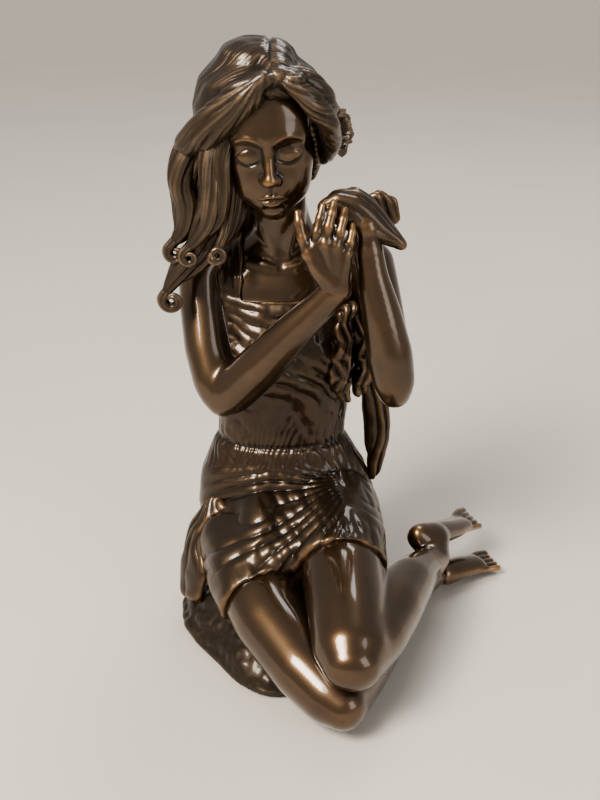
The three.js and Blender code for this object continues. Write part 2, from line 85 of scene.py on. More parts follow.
def room_for(*names):
    """The corners of a box round CAD nodes, with room for their clay's distances."""
    boxes = [box_mm(name) for name in names]
    return np.min([low for low, _ in boxes], 0) - REACH, np.max([high for _, high in boxes], 0) + REACH


def unit(vector):
    vector = np.asarray(vector, float)
    return vector / np.linalg.norm(vector)


def ramp(value, low, high):
    """0 below low, 1 above high, and smooth between."""
    t = np.clip((value - low) / (high - low), 0, 1)
    return t * t * (3 - 2 * t)


def waves(points, size, seed, count=12):
    """Smooth noise from -1 to 1 with features about size mm across: a sum of waves in seeded directions."""
    rng = np.random.default_rng(seed)
    total = np.zeros(len(points))
    for _ in range(count):
        direction = rng.normal(size=3)
        direction *= rng.uniform(0.6, 1.5) / np.linalg.norm(direction)
        total += np.sin(points @ direction * (math.pi / size) + rng.uniform(0, 2 * math.pi))
    return total / math.sqrt(count / 2) / 1.6


def crests(phase, sharpness=0.6):
    """Folds over a phase, from 0 to 1: crests at whole numbers and sharper valleys between them."""
    return np.abs(np.cos(math.pi * phase)) ** sharpness


def spline(points, steps):
    """Catmull-Rom points through a list, steps to each span."""
    p = np.asarray(points, float)
    if len(p) < 2 or steps < 2:
        return p
    padded = np.concatenate([[2 * p[0] - p[1]], p, [2 * p[-1] - p[-2]]])
    out = []
    for i in range(1, len(padded) - 2):
        a, b, c, d = padded[i - 1 : i + 3]
        for t in np.arange(steps) / steps:
            curve = 2 * b + (c - a) * t + (2 * a - 5 * b + 4 * c - d) * t**2
            out.append(0.5 * (curve + (3 * b - a - 3 * c + d) * t**3))
    out.append(p[-1])
    return np.array(out)


# ---- Clay ----------------------------------------------------------------------------------------
def smooth_min(a, b, k):
    """The lesser of two distances, rounded over k mm where they are alike."""
    if k <= 0:
        return np.minimum(a, b)
    h = np.maximum(k - np.abs(a - b), 0) / k
    return np.minimum(a, b) - h * h * k * 0.25


class Clay:
    """A solid as signed distances in mm, negative inside, on a grid of points step mm apart."""

    def __init__(self, low, high, step):
        self.step = step
        self.first = np.floor(np.asarray(low, float) / step).astype(int)
        last = np.ceil(np.asarray(high, float) / step).astype(int)
        self.field = np.full(tuple(last - self.first + 1), REACH, np.float32)

    def window(self, low, high):
        """The slices of the grid between two corners."""
        a = np.maximum(np.floor(np.asarray(low) / self.step).astype(int) - self.first, 0)
        b = np.ceil(np.asarray(high) / self.step).astype(int) - self.first + 1
        b = np.minimum(b, self.field.shape)
        return tuple(slice(int(i), int(max(i, j))) for i, j in zip(a, b))

    def grid(self, window=None):
        """X, Y and Z of a window's points, or of them all."""
        if window is None:
            window = [slice(0, count) for count in self.field.shape]
        axes = [(self.first[i] + np.arange(w.start, w.stop)) * self.step for i, w in enumerate(window)]
        return np.meshgrid(*[a.astype(np.float32) for a in axes], indexing="ij", sparse=True)

    def add(self, shape, k=0.0):
        """Adds a Ball or Rod, rounding the corner where it meets the rest over k mm."""
        window = self.window(shape.low - k - 1, shape.high + k + 1)
        part = self.field[window]
        if part.size:
            self.field[window] = smooth_min(part, shape.distance(*self.grid(window)), k)

    def carve(self, shape, k=0.0):
        """Takes a Ball or Rod away."""
        window = self.window(shape.low - k - 1, shape.high + k + 1)
        part = self.field[window]
        if part.size:
            self.field[window] = -smooth_min(-part, shape.distance(*self.grid(window)), k)

    def node(self, name):
        """(window, signed distances) of a CAD node on this grid."""
        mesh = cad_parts[name].data
        mesh.calc_loop_triangles()
        points = np.empty(len(mesh.vertices) * 3, np.float32)
        mesh.vertices.foreach_get("co", points)
        corners = np.empty(len(mesh.loop_triangles) * 3, np.int32)
        mesh.loop_triangles.foreach_get("vertices", corners)
        points = points.reshape(-1, 3) / MM
        window = self.window(points.min(0) - REACH, points.max(0) + REACH)
        level_set = vdb.FloatGrid.createLevelSetFromPolygons(
            points,
            triangles=corners.reshape(-1, 3).astype(np.uint32),
            transform=vdb.createLinearTransform(self.step),
            halfWidth=REACH / self.step,
        )
        field = np.empty([w.stop - w.start for w in window], np.float32)
        level_set.copyToArray(field, ijk=tuple(int(w.start + f) for w, f in zip(window, self.first)))
        return window, field

    def casting(self, name):
        """(window, clay) of a CAD node, as a clay of its own on this one's points."""
        window, field = self.node(name)
        part = Clay((0, 0, 0), (0, 0, 0), self.step)
        part.first = self.first + np.array([w.start for w in window])
        part.field = field
        return window, part

    def add_node(self, name, k=0.0, swell=0.0):
        """Adds a CAD node, made swell mm bigger all round."""
        window, field = self.node(name)
        self.field[window] = smooth_min(self.field[window], field - swell, k)

    def merge(self, part, k):
        """Adds a smaller clay that has the same spacing."""
        offset = part.first - self.first
        a = np.maximum(offset, 0)
        b = np.minimum(offset + part.field.shape, self.field.shape)
        here = tuple(slice(int(i), int(j)) for i, j in zip(a, b))
        there = tuple(slice(int(i), int(j)) for i, j in zip(a - offset, b - offset))
        self.field[here] = smooth_min(self.field[here], part.field[there], k)

    def blur(self, radius):
        """Three box blurs of that radius, in mm, along each axis."""
        r = max(1, round(radius / self.step))
        for axis in range(3):
            f = np.moveaxis(self.field, axis, 0)
            for _ in range(3):
                padded = np.concatenate([f[:1].repeat(r + 1, 0), f, f[-1:].repeat(r, 0)])
                total = np.cumsum(padded, axis=0, dtype=np.float32)
                f = (total[2 * r + 1 :] - total[: -2 * r - 1]) / (2 * r + 1)
            self.field = np.ascontiguousarray(np.moveaxis(f, 0, axis))

    def sample(self, points):
        """Distances at any points, n by 3, between the grid's own."""
        p = np.asarray(points, np.float64) / self.step - self.first
        top = np.array(self.field.shape) - 1.001
        p = np.clip(p, 0, top)
        i = p.astype(int)
        f = (p - i).astype(np.float32)
        total = np.zeros(len(p), np.float32)
        for corner in itertools.product((0, 1), repeat=3):
            x, y, z = (f[:, axis] if far else 1 - f[:, axis] for axis, far in enumerate(corner))
            total += x * y * z * self.field[tuple((i + corner).T)]
        return total

    def like(self, other):
        """This clay's distances on another clay's grid, inside the other's bounds."""
        field = self.field
        for axis in range(3):
            place = (other.first[axis] + np.arange(other.field.shape[axis])) * other.step / self.step
            place = np.clip(place - self.first[axis], 0, field.shape[axis] - 1.001)
            i = place.astype(int)
            shape = [1, 1, 1]
            shape[axis] = -1
            f = (place - i).astype(np.float32).reshape(shape)
            field = field.take(i, axis) * (1 - f) + field.take(i + 1, axis) * f
        return field

    def front(self, x, z, depth=0.0, start=-170.0):
        """The point on the surface first met looking along +Y at x, z, then depth mm further in."""
        y = np.arange(start, 100, 0.25)
        line = self.sample(np.stack([np.full_like(y, x), y, np.full_like(y, z)], 1))
        inside = np.nonzero(line < 0)[0]
        return np.array([x, (y[inside[0]] if len(inside) else 0.0) + depth, z])

    def mesh(self):
        """The clay's surface."""
        level_set = vdb.FloatGrid(REACH)
        level_set.copyFromArray(self.field, ijk=tuple(int(i) for i in self.first))
        level_set.transform = vdb.createLinearTransform(self.step)
        points, _, quads = level_set.convertToPolygons(0.0, 0.0)
        surface = Surface(points.astype(np.float64), quads.astype(np.int64))
        surface.face_out()
        return surface


class Ball:
    """An ellipsoid, whose axes may be turned by a 3 by 3 matrix."""

    def __init__(self, centre, radii, turn=np.eye(3)):
        self.centre = np.asarray(centre, float)
        self.radii = np.asarray(radii, float) * np.ones(3)
        self.turn = turn
        reach = np.sqrt(((turn * self.radii) ** 2).sum(1))
        self.low = self.centre - reach
        self.high = self.centre + reach

    def distance(self, x, y, z):
        away = [x - self.centre[0], y - self.centre[1], z - self.centre[2]]
        near = slope = 0
        for i, r in enumerate(self.radii):
            along = sum(away[k] * self.turn[k, i] for k in range(3) if self.turn[k, i]) / r
            near = near + along**2
            slope = slope + (along / r) ** 2
        near = np.sqrt(near)
        return near * (near - 1) / np.maximum(np.sqrt(slope), 1e-6)


class Rod:
    """A round rod through points, whose radius goes from point to point."""

    def __init__(self, points, radii, smooth=4):
        points = np.asarray(points, float)
        radii = np.asarray(radii, float) * np.ones(len(points))
        self.points = spline(points, smooth)
        self.radii = spline(radii[:, None], smooth)[:, 0]
        self.low = (self.points - self.radii[:, None]).min(0)
        self.high = (self.points + self.radii[:, None]).max(0)

    def distance(self, x, y, z):
        best = None
        for a, b, ra, rb in zip(self.points, self.points[1:], self.radii, self.radii[1:]):
            d = b - a
            t = ((x - a[0]) * d[0] + (y - a[1]) * d[1] + (z - a[2]) * d[2]) / max(d @ d, 1e-9)
            t = np.clip(t, 0, 1)
            away = (x - a[0] - t * d[0]) ** 2 + (y - a[1] - t * d[1]) ** 2 + (z - a[2] - t * d[2]) ** 2
            gap = np.sqrt(away) - (ra + (rb - ra) * t)
            best = gap if best is None else np.minimum(best, gap)
        return best


# ---- Surfaces ------------------------------------------------------------------------------------
class Surface:
    """A mesh of four-sided faces, in mm, with a normal and named values for each vertex."""

    def __init__(self, points, quads):
        self.points = points
        self.quads = quads
        self.normals = None
        self.values = {}

    def corners(self):
        return (self.points[self.quads[:, i]] for i in range(4))

    def face_out(self):
        """Turns the faces the right way out, and finds the normals."""
        a, b, c, d = self.corners()
        volume = (np.einsum("ij,ij->i", a, np.cross(b, c)) + np.einsum("ij,ij->i", a, np.cross(c, d))).sum()
        if volume < 0:
            self.quads = self.quads[:, ::-1]
        self.find_normals()

    def edges(self):
        pairs = np.concatenate([self.quads[:, [i, (i + 1) % 4]] for i in range(4)])
        return pairs[pairs[:, 0] != pairs[:, 1]]

    def less_specks(self, faces, least=0.01):
        """The mask of faces, less any part apart from the rest that has under that share of its points."""
        e = Surface(self.points, self.quads[faces]).edges()
        e = np.concatenate([e, e[:, ::-1]])
        e = e[np.argsort(e[:, 0], kind="stable")]
        from_points, starts = np.unique(e[:, 0], return_index=True)
        part = np.arange(len(self.points))
        while True:
            lowest = part.copy()
            lowest[from_points] = np.minimum(part[from_points], np.minimum.reduceat(part[e[:, 1]], starts))
            lowest = lowest[lowest]
            if np.array_equal(lowest, part):
                break
            part = lowest
        size = np.bincount(part, minlength=len(part))[part]
        return faces & (size[self.quads[:, 0]] > least * len(from_points))

    def relax(self, times=2, share=0.4):
        """Softens the mesh."""
        self.points = self.average(self.points, times, share)
        self.find_normals()

    def average(self, values, times=1, share=1.0):
        """Each vertex's value moved towards the mean of its neighbours'."""
        e = self.edges()
        count = len(self.points)
        degree = np.maximum(np.bincount(e[:, 0], minlength=count), 1)
        values = np.array(values, float)
        flat = values.reshape(count, -1)
        for _ in range(times):
            for c in range(flat.shape[1]):
                mean = np.bincount(e[:, 0], flat[e[:, 1], c], minlength=count) / degree
                flat[:, c] += share * (mean - flat[:, c])
        return flat.reshape(values.shape)

    def find_normals(self):
        a, b, c, d = self.corners()
        face = np.cross(c - a, d - b)
        total = np.zeros_like(self.points)
        for i in range(4):
            for k in range(3):
                total[:, k] += np.bincount(self.quads[:, i], face[:, k], minlength=len(total))
        self.normals = total / np.maximum(np.linalg.norm(total, axis=1, keepdims=True), 1e-12)

    def push(self, amount):
        """Moves each vertex along its normal."""
        self.points = self.points + self.normals * np.asarray(amount)[:, None]
        self.find_normals()

    def find_wear(self, spread=6):
        """Wear on what stands out, and hollow in what lies back, from the surface's bend."""
        e = self.edges()
        length = np.median(np.linalg.norm(self.points[e[::7, 0]] - self.points[e[::7, 1]], axis=1))
        out = np.einsum("ij,ij->i", self.points - self.average(self.points), self.normals)
        bend = out / length**2 * 2
        near = self.average(bend, spread, 0.7)
        wide = self.average(near, spread * 6, 0.9)
        self.values["worn"] = ramp(0.55 * near + 0.9 * wide, 0.03, 0.32)
        self.values["hollow"] = ramp(-0.6 * near - 0.8 * wide, 0.0, 0.22)


def keep_largest(form):
    """Deletes all of a bmesh but its largest connected part."""
    left = set(form.verts)
    parts = []
    while left:
        part = [left.pop()]
        for vertex in part:
            for edge in vertex.link_edges:
                other = edge.other_vert(vertex)
                if other in left:
                    left.remove(other)
                    part.append(other)
        parts.append(part)
    parts.sort(key=len)
    loose = [vertex for part in parts[:-1] for vertex in part]
    bmesh.ops.delete(form, geom=loose, context="VERTS")


def trimmed(surface, planes):
    """The surface's points, faces, normals and values, on the side of each plane that its normal points to."""
    mesh = bpy.data.meshes.new("cutting")
    mesh.from_pydata((surface.points * MM).tolist(), [], surface.quads.tolist())
    values = surface.values | {f"lay_{i}": surface.normals[:, i] for i in range(3)}
    for label, numbers in values.items():
        mesh.attributes.new(label, "FLOAT", "POINT").data.foreach_set("value", numbers.astype(np.float32))
    form = bmesh.new()
    form.from_mesh(mesh)
    for point, normal in planes:
        bmesh.ops.bisect_plane(
            form,
            geom=form.verts[:] + form.edges[:] + form.faces[:],
            dist=1e-7,
            plane_co=Vector(point) * MM,
            plane_no=Vector(normal),
            clear_inner=True,
        )
    keep_largest(form)
    form.to_mesh(mesh)
    form.free()
    points = np.empty(len(mesh.vertices) * 3)
    mesh.vertices.foreach_get("co", points)
    read = {}
    for label in values:
        read[label] = np.empty(len(mesh.vertices))
        mesh.attributes[label].data.foreach_get("value", read[label])
    faces = [tuple(f.vertices) for f in mesh.polygons]
    bpy.data.meshes.remove(mesh)
    normals = np.stack([read.pop(f"lay_{i}") for i in range(3)], 1)
    return points.reshape(-1, 3) / MM, faces, normals, read


def make_piece(name, surface, node_names, material, keep=None, planes=()):
    """A Blender object of a surface, or of the faces in keep, closed by a fan over each open edge."""
    if planes:
        points, faces, normals, values = trimmed(surface, planes)
    else:
        quads = surface.quads if keep is None else surface.quads[keep]
        used, quads = np.unique(quads, return_inverse=True)
        points, normals = surface.points[used], surface.normals[used]
        values = {label: numbers[used] for label, numbers in surface.values.items()}
        faces = [tuple(dict.fromkeys(q)) for q in quads.reshape(-1, 4).tolist()]
        faces = [f for f in faces if len(f) > 2]
    for rim in rims(faces):
        middle = len(points)
        points = np.vstack([points, points[rim].mean(0)])
        normals = np.vstack([normals, normals[rim].mean(0) + 1e-6])
        values = {label: np.append(numbers, numbers[rim].mean()) for label, numbers in values.items()}
        faces += [(rim[i], middle, rim[i - 1]) for i in range(len(rim))]
    mesh = bpy.data.meshes.new(name)
    mesh.from_pydata((points * MM).tolist(), [], faces)
    mesh.update()
    for label, numbers in values.items():
        mesh.attributes.new(label, "FLOAT", "POINT").data.foreach_set("value", numbers.astype(np.float32))
    mesh.shade_smooth()
    corner_vertex = np.empty(len(mesh.loops), np.int32)
    mesh.loops.foreach_get("vertex_index", corner_vertex)
    mesh.normals_split_custom_set(normals[corner_vertex].tolist())
    mesh.materials.append(material)
    piece = bpy.data.objects.new(name, mesh)
    bpy.context.scene.collection.objects.link(piece)
    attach(piece, "root")
    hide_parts(*node_names)
    return piece


def rims(faces):
    """Closed loops of vertices along the open edges of a list of faces."""
    going = set()
    for face in faces:
        going.update(zip(face, face[1:] + face[:1]))
    after = {}
    for a, b in sorted(edge for edge in going if edge[::-1] not in going):
        after.setdefault(a, []).append(b)
    loops = []
    while after:
        here = start = next(iter(after))
        loop = []
        while here in after:
            loop.append(here)
            step = after[here].pop()
            if not after[here]:
                del after[here]
            here = step
            if here == start:
                break
        if len(loop) > 2:
            loops.append(loop)
    return loops


def settled(owner, quads, rounds=12):
    """Each face's owner after the faces round it have voted, so that no specks lie in another piece."""
    for _ in range(rounds):
        votes = [np.bincount(quads.ravel(), np.repeat(owner == i, 4)) for i in range(-1, owner.max() + 1)]
        owner = np.argmax([vote[quads].sum(1) for vote in votes], 0) - 1
    return owner


def share_out(surface, clay, names, material, limit=4.0):
    """Makes one piece of each node's faces: each face goes to the node that it lies nearest to."""
    centres = surface.points[surface.quads].mean(1)
    best = np.full(len(centres), limit)
    owner = np.full(len(centres), -1)
    for i, name in enumerate(names):
        _, part = clay.casting(name)
        low = part.first * clay.step
        high = low + (np.array(part.field.shape) - 1) * clay.step
        near = np.all((centres > low) & (centres < high), axis=1)
        gap = np.full(len(centres), 1e3)
        gap[near] = part.sample(centres[near])
        closer = gap < best
        best[closer] = gap[closer]
        owner[closer] = i
    owner = settled(owner, surface.quads)
    for i, name in enumerate(names):
        keep = owner == i
        if keep.any():
            keep = surface.less_specks(keep)
            make_piece(f"cast_{name}", surface, [name], material, keep)


def grid_surface(points, round_u, thickness=None):
    """A closed surface over rows of points, rows by columns by 3. round_u: each row closes on itself, as on a
    tube. Otherwise the rows are one face of a sheet, and thickness, one for each point, parts its two faces."""
    rows, columns, _ = points.shape
    if not round_u:
        down = np.gradient(points, axis=0)
        across = np.gradient(points, axis=1)
        normal = np.cross(across, down)
        normal /= np.maximum(np.linalg.norm(normal, axis=2, keepdims=True), 1e-9)
        half = (thickness / 2)[..., None] * normal
        points = np.concatenate([points + half, (points - half)[:, ::-1]], axis=1)
        columns *= 2
    index = np.arange(rows * columns).reshape(rows, columns)
    right = np.roll(index, -1, axis=1)
    quads = np.stack([index[:-1], right[:-1], right[1:], index[1:]], -1).reshape(-1, 4)
    flat = points.reshape(-1, 3)
    if round_u:
        ends = np.array([points[0].mean(0), points[-1].mean(0)])
        flat = np.vstack([flat, ends])
        top, low = rows * columns, rows * columns + 1
        caps = [[top, b, a, a] for a, b in zip(index[0], right[0])]
        caps += [[low, a, b, b] for a, b in zip(index[-1], right[-1])]
    else:
        half_columns = columns // 2
        caps = []
        for row, turn in ((index[0], 1), (index[-1], -1)):
            for k in range(half_columns - 1):
                caps.append([row[k], row[columns - 1 - k], row[columns - 2 - k], row[k + 1]][::turn])
    surface = Surface(flat, np.vstack([quads, np.array(caps)]))
    surface.face_out()
    return surface


def together(surfaces):
    """Several surfaces as one."""
    starts = np.cumsum([0] + [len(s.points) for s in surfaces])
    quads = np.vstack([s.quads + start for s, start in zip(surfaces, starts)])
    total = Surface(np.vstack([s.points for s in surfaces]), quads)
    total.normals = np.vstack([s.normals for s in surfaces])
    for label in surfaces[0].values:
        total.values[label] = np.concatenate([s.values[label] for s in surfaces])
    return total


# ---- Materials -----------------------------------------------------------------------------------
def nodes_of(name):
    """(material, its node tree, its main shader)."""
    material = bpy.data.materials.new(name)
    material.use_nodes = True
    tree = material.node_tree
    return material, tree, tree.nodes["Principled BSDF"]


def noise(tree, scale, detail=4.0, roughness=0.55, stretch=(1, 1, 1)):
    coordinates = tree.nodes.new("ShaderNodeTexCoord")
    mapping = tree.nodes.new("ShaderNodeMapping")
    mapping.inputs["Scale"].default_value = stretch
    tree.links.new(coordinates.outputs["Object"], mapping.inputs["Vector"])
    texture = tree.nodes.new("ShaderNodeTexNoise")
    texture.inputs["Scale"].default_value = scale
    texture.inputs["Detail"].default_value = detail
    texture.inputs["Roughness"].default_value = roughness
    tree.links.new(mapping.outputs["Vector"], texture.inputs["Vector"])
    return texture.outputs["Fac"]


def mapped(tree, value, from_low, from_high, to_low, to_high):
    node = tree.nodes.new("ShaderNodeMapRange")
    for i, number in enumerate((from_low, from_high, to_low, to_high)):
        node.inputs[i + 1].default_value = number
    tree.links.new(value, node.inputs[0])
    return node.outputs[0]


def math_node(tree, operation, a, b):
    """Two numbers put together. Each is a number or a socket."""
    node = tree.nodes.new("ShaderNodeMath")
    node.operation = operation
    for i, value in enumerate((a, b)):
        if isinstance(value, (int, float)):
            node.inputs[i].default_value = value
        else:
            tree.links.new(value, node.inputs[i])
    return node.outputs[0]


def mixed(tree, factor, a, b, kind="MIX"):
    """Colours a and b mixed. Each is a tuple or a socket."""
    node = tree.nodes.new("ShaderNodeMix")
    node.data_type = "RGBA"
    node.blend_type = kind
    if isinstance(factor, (int, float)):
        node.inputs["Factor"].default_value = factor
    else:
        tree.links.new(factor, node.inputs["Factor"])
    for socket, value in ((node.inputs[6], a), (node.inputs[7], b)):
        if isinstance(value, tuple):
            socket.default_value = (*value, 1)
        else:
            tree.links.new(value, socket)
    return node.outputs[2]


def attribute(tree, name):
    node = tree.nodes.new("ShaderNodeAttribute")
    node.attribute_name = name
    return node.outputs["Fac"]


def bump(tree, shader, height, strength, distance):
    node = tree.nodes.new("ShaderNodeBump")
    node.inputs["Strength"].default_value = strength
    node.inputs["Distance"].default_value = distance
    tree.links.new(height, node.inputs["Height"])
    tree.links.new(node.outputs["Normal"], shader.inputs["Normal"])


def bronze(name, dark, mid, gold, roughness, coat, grain=0.15, strands=0.0):
    """Patinated bronze: dark in the hollows, brown on the open surface and gold where hands have worn it.
    strands: how deep the fine lines are that run along the value named strand."""
    material, tree, shader = nodes_of(name)
    worn = attribute(tree, "worn")
    hollow = attribute(tree, "hollow")
    cloud = noise(tree, 38, 5, 0.6)
    streak = noise(tree, 150, 3, 0.5)
    fine = noise(tree, 900, 3, 0.6)
    brown = tuple(0.62 * a + 0.38 * b for a, b in zip(mid, dark))
    patina = mixed(tree, mapped(tree, cloud, 0.35, 0.7, 0, 1), mid, brown)
    shine = math_node(tree, "MULTIPLY", worn, mapped(tree, streak, 0.3, 0.62, 0.55, 1.1))
    patina = mixed(tree, shine, patina, gold)
    patina = mixed(tree, math_node(tree, "MULTIPLY", hollow, 0.85), patina, dark)
    tree.links.new(patina, shader.inputs["Base Color"])
    dull = math_node(tree, "ADD", cloud, math_node(tree, "MULTIPLY", hollow, 0.35))
    tree.links.new(mapped(tree, dull, 0.35, 0.95, roughness, roughness + 0.2), shader.inputs["Roughness"])
    shader.inputs["Metallic"].default_value = 0.88
    shader.inputs["Coat Weight"].default_value = coat
    shader.inputs["Coat Roughness"].default_value = 0.1
    height = math_node(tree, "ADD", fine, streak)
    if strands:
        line = tree.nodes.new("ShaderNodeTexNoise")
        line.noise_dimensions = "1D"
        line.inputs["Scale"].default_value = 1.1
        line.inputs["Detail"].default_value = 2.0
        tree.links.new(attribute(tree, "strand"), line.inputs["W"])
        height = math_node(tree, "ADD", height, math_node(tree, "MULTIPLY", line.outputs["Fac"], strands))
    bump(tree, shader, height, grain, 0.0003)
    return material


def steel_material():
    material, tree, shader = nodes_of("zinc_plated_steel")
    spangle = noise(tree, 260, 3, 0.5)
    tree.links.new(mixed(tree, spangle, (0.36, 0.37, 0.38), (0.6, 0.6, 0.58)), shader.inputs["Base Color"])
    tree.links.new(mapped(tree, spangle, 0.3, 0.7, 0.28, 0.45), shader.inputs["Roughness"])
    shader.inputs["Metallic"].default_value = 1.0
    return material


def felt_material():
    material, tree, shader = nodes_of("green_felt")
    fibre = noise(tree, 700, 6, 0.7, (1, 1, 0.4))
    green = mixed(tree, fibre, (0.008, 0.018, 0.012), (0.03, 0.055, 0.04))
    tree.links.new(green, shader.inputs["Base Color"])
    tree.links.new(mapped(tree, fibre, 0.3, 0.7, 0.85, 1.0), shader.inputs["Roughness"])
    bump(tree, shader, fibre, 0.8, 0.0006)
    return material


SKIN = bronze("skin_bronze", (0.01, 0.006, 0.003), (0.082, 0.047, 0.022), (0.3, 0.165, 0.068), 0.3, 1.0)
CLOTH = bronze(
    "cloth_bronze", (0.008, 0.005, 0.0035), (0.055, 0.034, 0.019), (0.17, 0.105, 0.055), 0.38, 0.6, 0.3
)
HAIR = bronze(
    "hair_bronze", (0.008, 0.0055, 0.004), (0.058, 0.038, 0.023), (0.19, 0.13, 0.08), 0.36, 0.6, 0.3, 7.0
)
BASE = bronze("base_bronze", (0.01, 0.007, 0.006), (0.045, 0.032, 0.022), (0.13, 0.09, 0.055), 0.45, 0.3, 0.6)
STEEL = steel_material()
FELT = felt_material()


# ---- The body ------------------------------------------------------------------------------------
ARMS = ["right_upper_arm", "left_upper_arm", "right_forearm", "left_forearm"]
SKIN_NODES = ["neck_and_shoulders", *ARMS, "right_thigh", "left_thigh", "right_shin", "left_shin"]
CLOTH_LAYER = 1.4  # how far the gown stands proud of the body
ROUND_FIGURE = 6.0


def part_of_body(bare, clothed, k=5.0):
    """Castings as one smooth clay, with the body that is under the clothed castings."""
    clay = Clay(*room_for(*bare, *clothed), BODY_STEP)
    for name in bare:
        clay.add_node(name, k)
    for name in clothed:
        clay.add_node(name, k, -CLOTH_LAYER)
    clay.blur(2.6)
    return clay


def body_clay():
    low, high = np.array(CAD_BOX) / MM
    clay = Clay(low - ROUND_FIGURE, high + ROUND_FIGURE, BODY_STEP)
    clay.merge(part_of_body(["neck_and_shoulders", *ARMS], ["gown_bodice"], 3.2), 0)
    for side in ("right", "left"):
        clay.merge(part_of_body([f"{side}_thigh", f"{side}_shin"], ["gown_skirt"]), 1.5)
    sculpt_neck(clay)
    return clay


def sculpt_neck(clay):
    """Collarbones, and the two muscles that rise from the hollow between them."""
    for places in ([(-17, 268), (-25, 270), (-36, 272)], [(-9, 268), (0, 270), (12, 272)]):
        line = [clay.front(x, z, 1.4) for x, z in places]
        clay.add(Rod(line, [1.6, 2.6, 1.2]), 5)
    right_muscle = [(-17, 277), (-21, 288), (-27, 302), (-33, 318)]
    left_muscle = [(-9, 277), (-6, 288), (-1, 302), (0, 318)]
    for places in (right_muscle, left_muscle):
        line = [clay.front(x, z, 1.8) for x, z in places]
        clay.add(Rod(line, [1.0, 2.2, 2.4, 1.8]), 6)


BODY = body_clay()


def make_body():
    surface = BODY.mesh()
    surface.find_wear()
    share_out(surface, BODY, SKIN_NODES, SKIN)


# ---- Gown and scarf ------------------------------------------------------------------------------
STRAPS = ["gown_strap_right", "gown_strap_left"]
GOWN_NODES = ["gown_bodice", "gown_skirt", *STRAPS]
WAIST = 138.0
TRUNK_X, TRUNK_Y = -12, 30
PIN_X, PIN_Z = 48, 122  # the folds of the lap spread from her left hip


def gown_clay():
    room = room_for(*GOWN_NODES)
    cloth = Clay(*room, CLOTH_STEP)
    pattern = Clay(*room, CLOTH_STEP)  # the cloth is cut off where it leaves this
    for name in ("gown_bodice", "gown_skirt"):
        cloth.add_node(name, 5)
        pattern.add_node(name, 1)
    for name in ("neck_and_shoulders", "right_thigh", "left_thigh"):
        cloth.add_node(name, 3, CLOTH_LAYER)
    for name in STRAPS:
        pattern.add_node(name, 2, 1.2)
    lap = Rod([(-4, -6, 96), (-3, -32, 85), (0, -47, 78)], [15, 14, 11])
    beside_lap = Rod([(-27, 0, 95), (-26, -28, 83), (-24, -48, 72)], [17, 17, 14])
    across_lap = Rod([(-24, -46, 72), (-10, -48, 76), (2, -45, 77)], [13, 13, 11])
    for rod in (lap, beside_lap, across_lap):
        cloth.add(rod, 12)
        pattern.add(rod, 8)
    over_thigh = Rod([(-52, 8, 92), (-50, -16, 88), (-44, -36, 82)], [24, 24, 20])
    pattern.add(over_thigh, 8)
    cloth.blur(2.6)
    x, y, z = cloth.grid()
    hem = 0.9 + 0.5 * np.sin(x * 0.55 + y * 0.2) * np.sin(z * 0.3 + 1)
    over_skin = BODY.like(cloth) - 1.3
    covering = smooth_min(cloth.field - 0.5, over_skin, 2)
    cloth.field = np.maximum(covering, pattern.field - hem).astype(np.float32)
    return cloth


def drape(surface):
    """Folds of thin cloth, hung between the straps, gathered at the waist and drawn across from the pin."""
    p = surface.points
    x, y, z = p.T
    drift = waves(p, 26, 3)
    small = waves(p, 9, 4)
    loose = 0.35 + 0.65 * ramp(waves(p, 30, 6), -0.6, 0.6)
    round_trunk = np.arctan2(y - TRUNK_Y, x - TRUNK_X)
    cowl = np.hypot((x - TRUNK_X) * 0.8, z - 292) / 8.6 + 0.9 * drift + 0.12 * small
    cowl_part = ramp(z, 205, 225) * ramp(-y, -22, -8)
    gather = round_trunk * 8 + 1.2 * drift + 0.25 * small
    gather_part = np.exp(-(((z - WAIST) / 17) ** 2))
    fan = np.arctan2(PIN_Z - z - 0.55 * (y + 10), PIN_X - x) * 8.5 + 0.45 * drift
    fan_part = ramp(-z, -130, -112) * ramp(-y, -30, 5) * ramp(-x, -50, -30)
    wrap = (z * 0.7 + x * 0.62) / 14 + 0.55 * drift + 0.08 * small
    wrap_part = ramp(z, 142, 160) * ramp(-z, -222, -200)
    back = round_trunk * 7 + z * 0.03 + 0.5 * drift
    back_part = np.maximum(ramp(y, 35, 60), ramp(x, 34, 48) * ramp(-z, -130, -112) * 0.8)
    relief = 1.3 * cowl_part * crests(cowl) * loose
    relief += 1.2 * gather_part * crests(gather) * (0.4 + 0.6 * loose)
    relief += 1.9 * fan_part * crests(fan) * ramp(np.hypot(x - PIN_X, z - PIN_Z), 14, 46)
    relief += 1.9 * wrap_part * crests(wrap) * (1 - 0.6 * back_part) * (0.4 + 0.6 * loose)
    relief += 0.9 * back_part * crests(back)
    strap = ramp(z, 252, 258)
    strap_folds = 0.5 + 0.9 * crests((np.abs(x - TRUNK_X) - 33) / 5.2 + 0.15 * drift)
    relief = (1 - strap) * relief + strap * strap_folds
    relief += 0.15 * small + 0.5 * waves(p, 34, 5)
    relief -= 1.6 * np.exp(-(((z - WAIST) / 2.2) ** 2))
    surface.push(relief - 0.5)


def make_gown():
    clay = gown_clay()
    surface = clay.mesh()
    surface.relax()
    drape(surface)
    surface.relax()
    surface.find_wear(4)
    share_out(surface, clay, GOWN_NODES, CLOTH, 20.0)


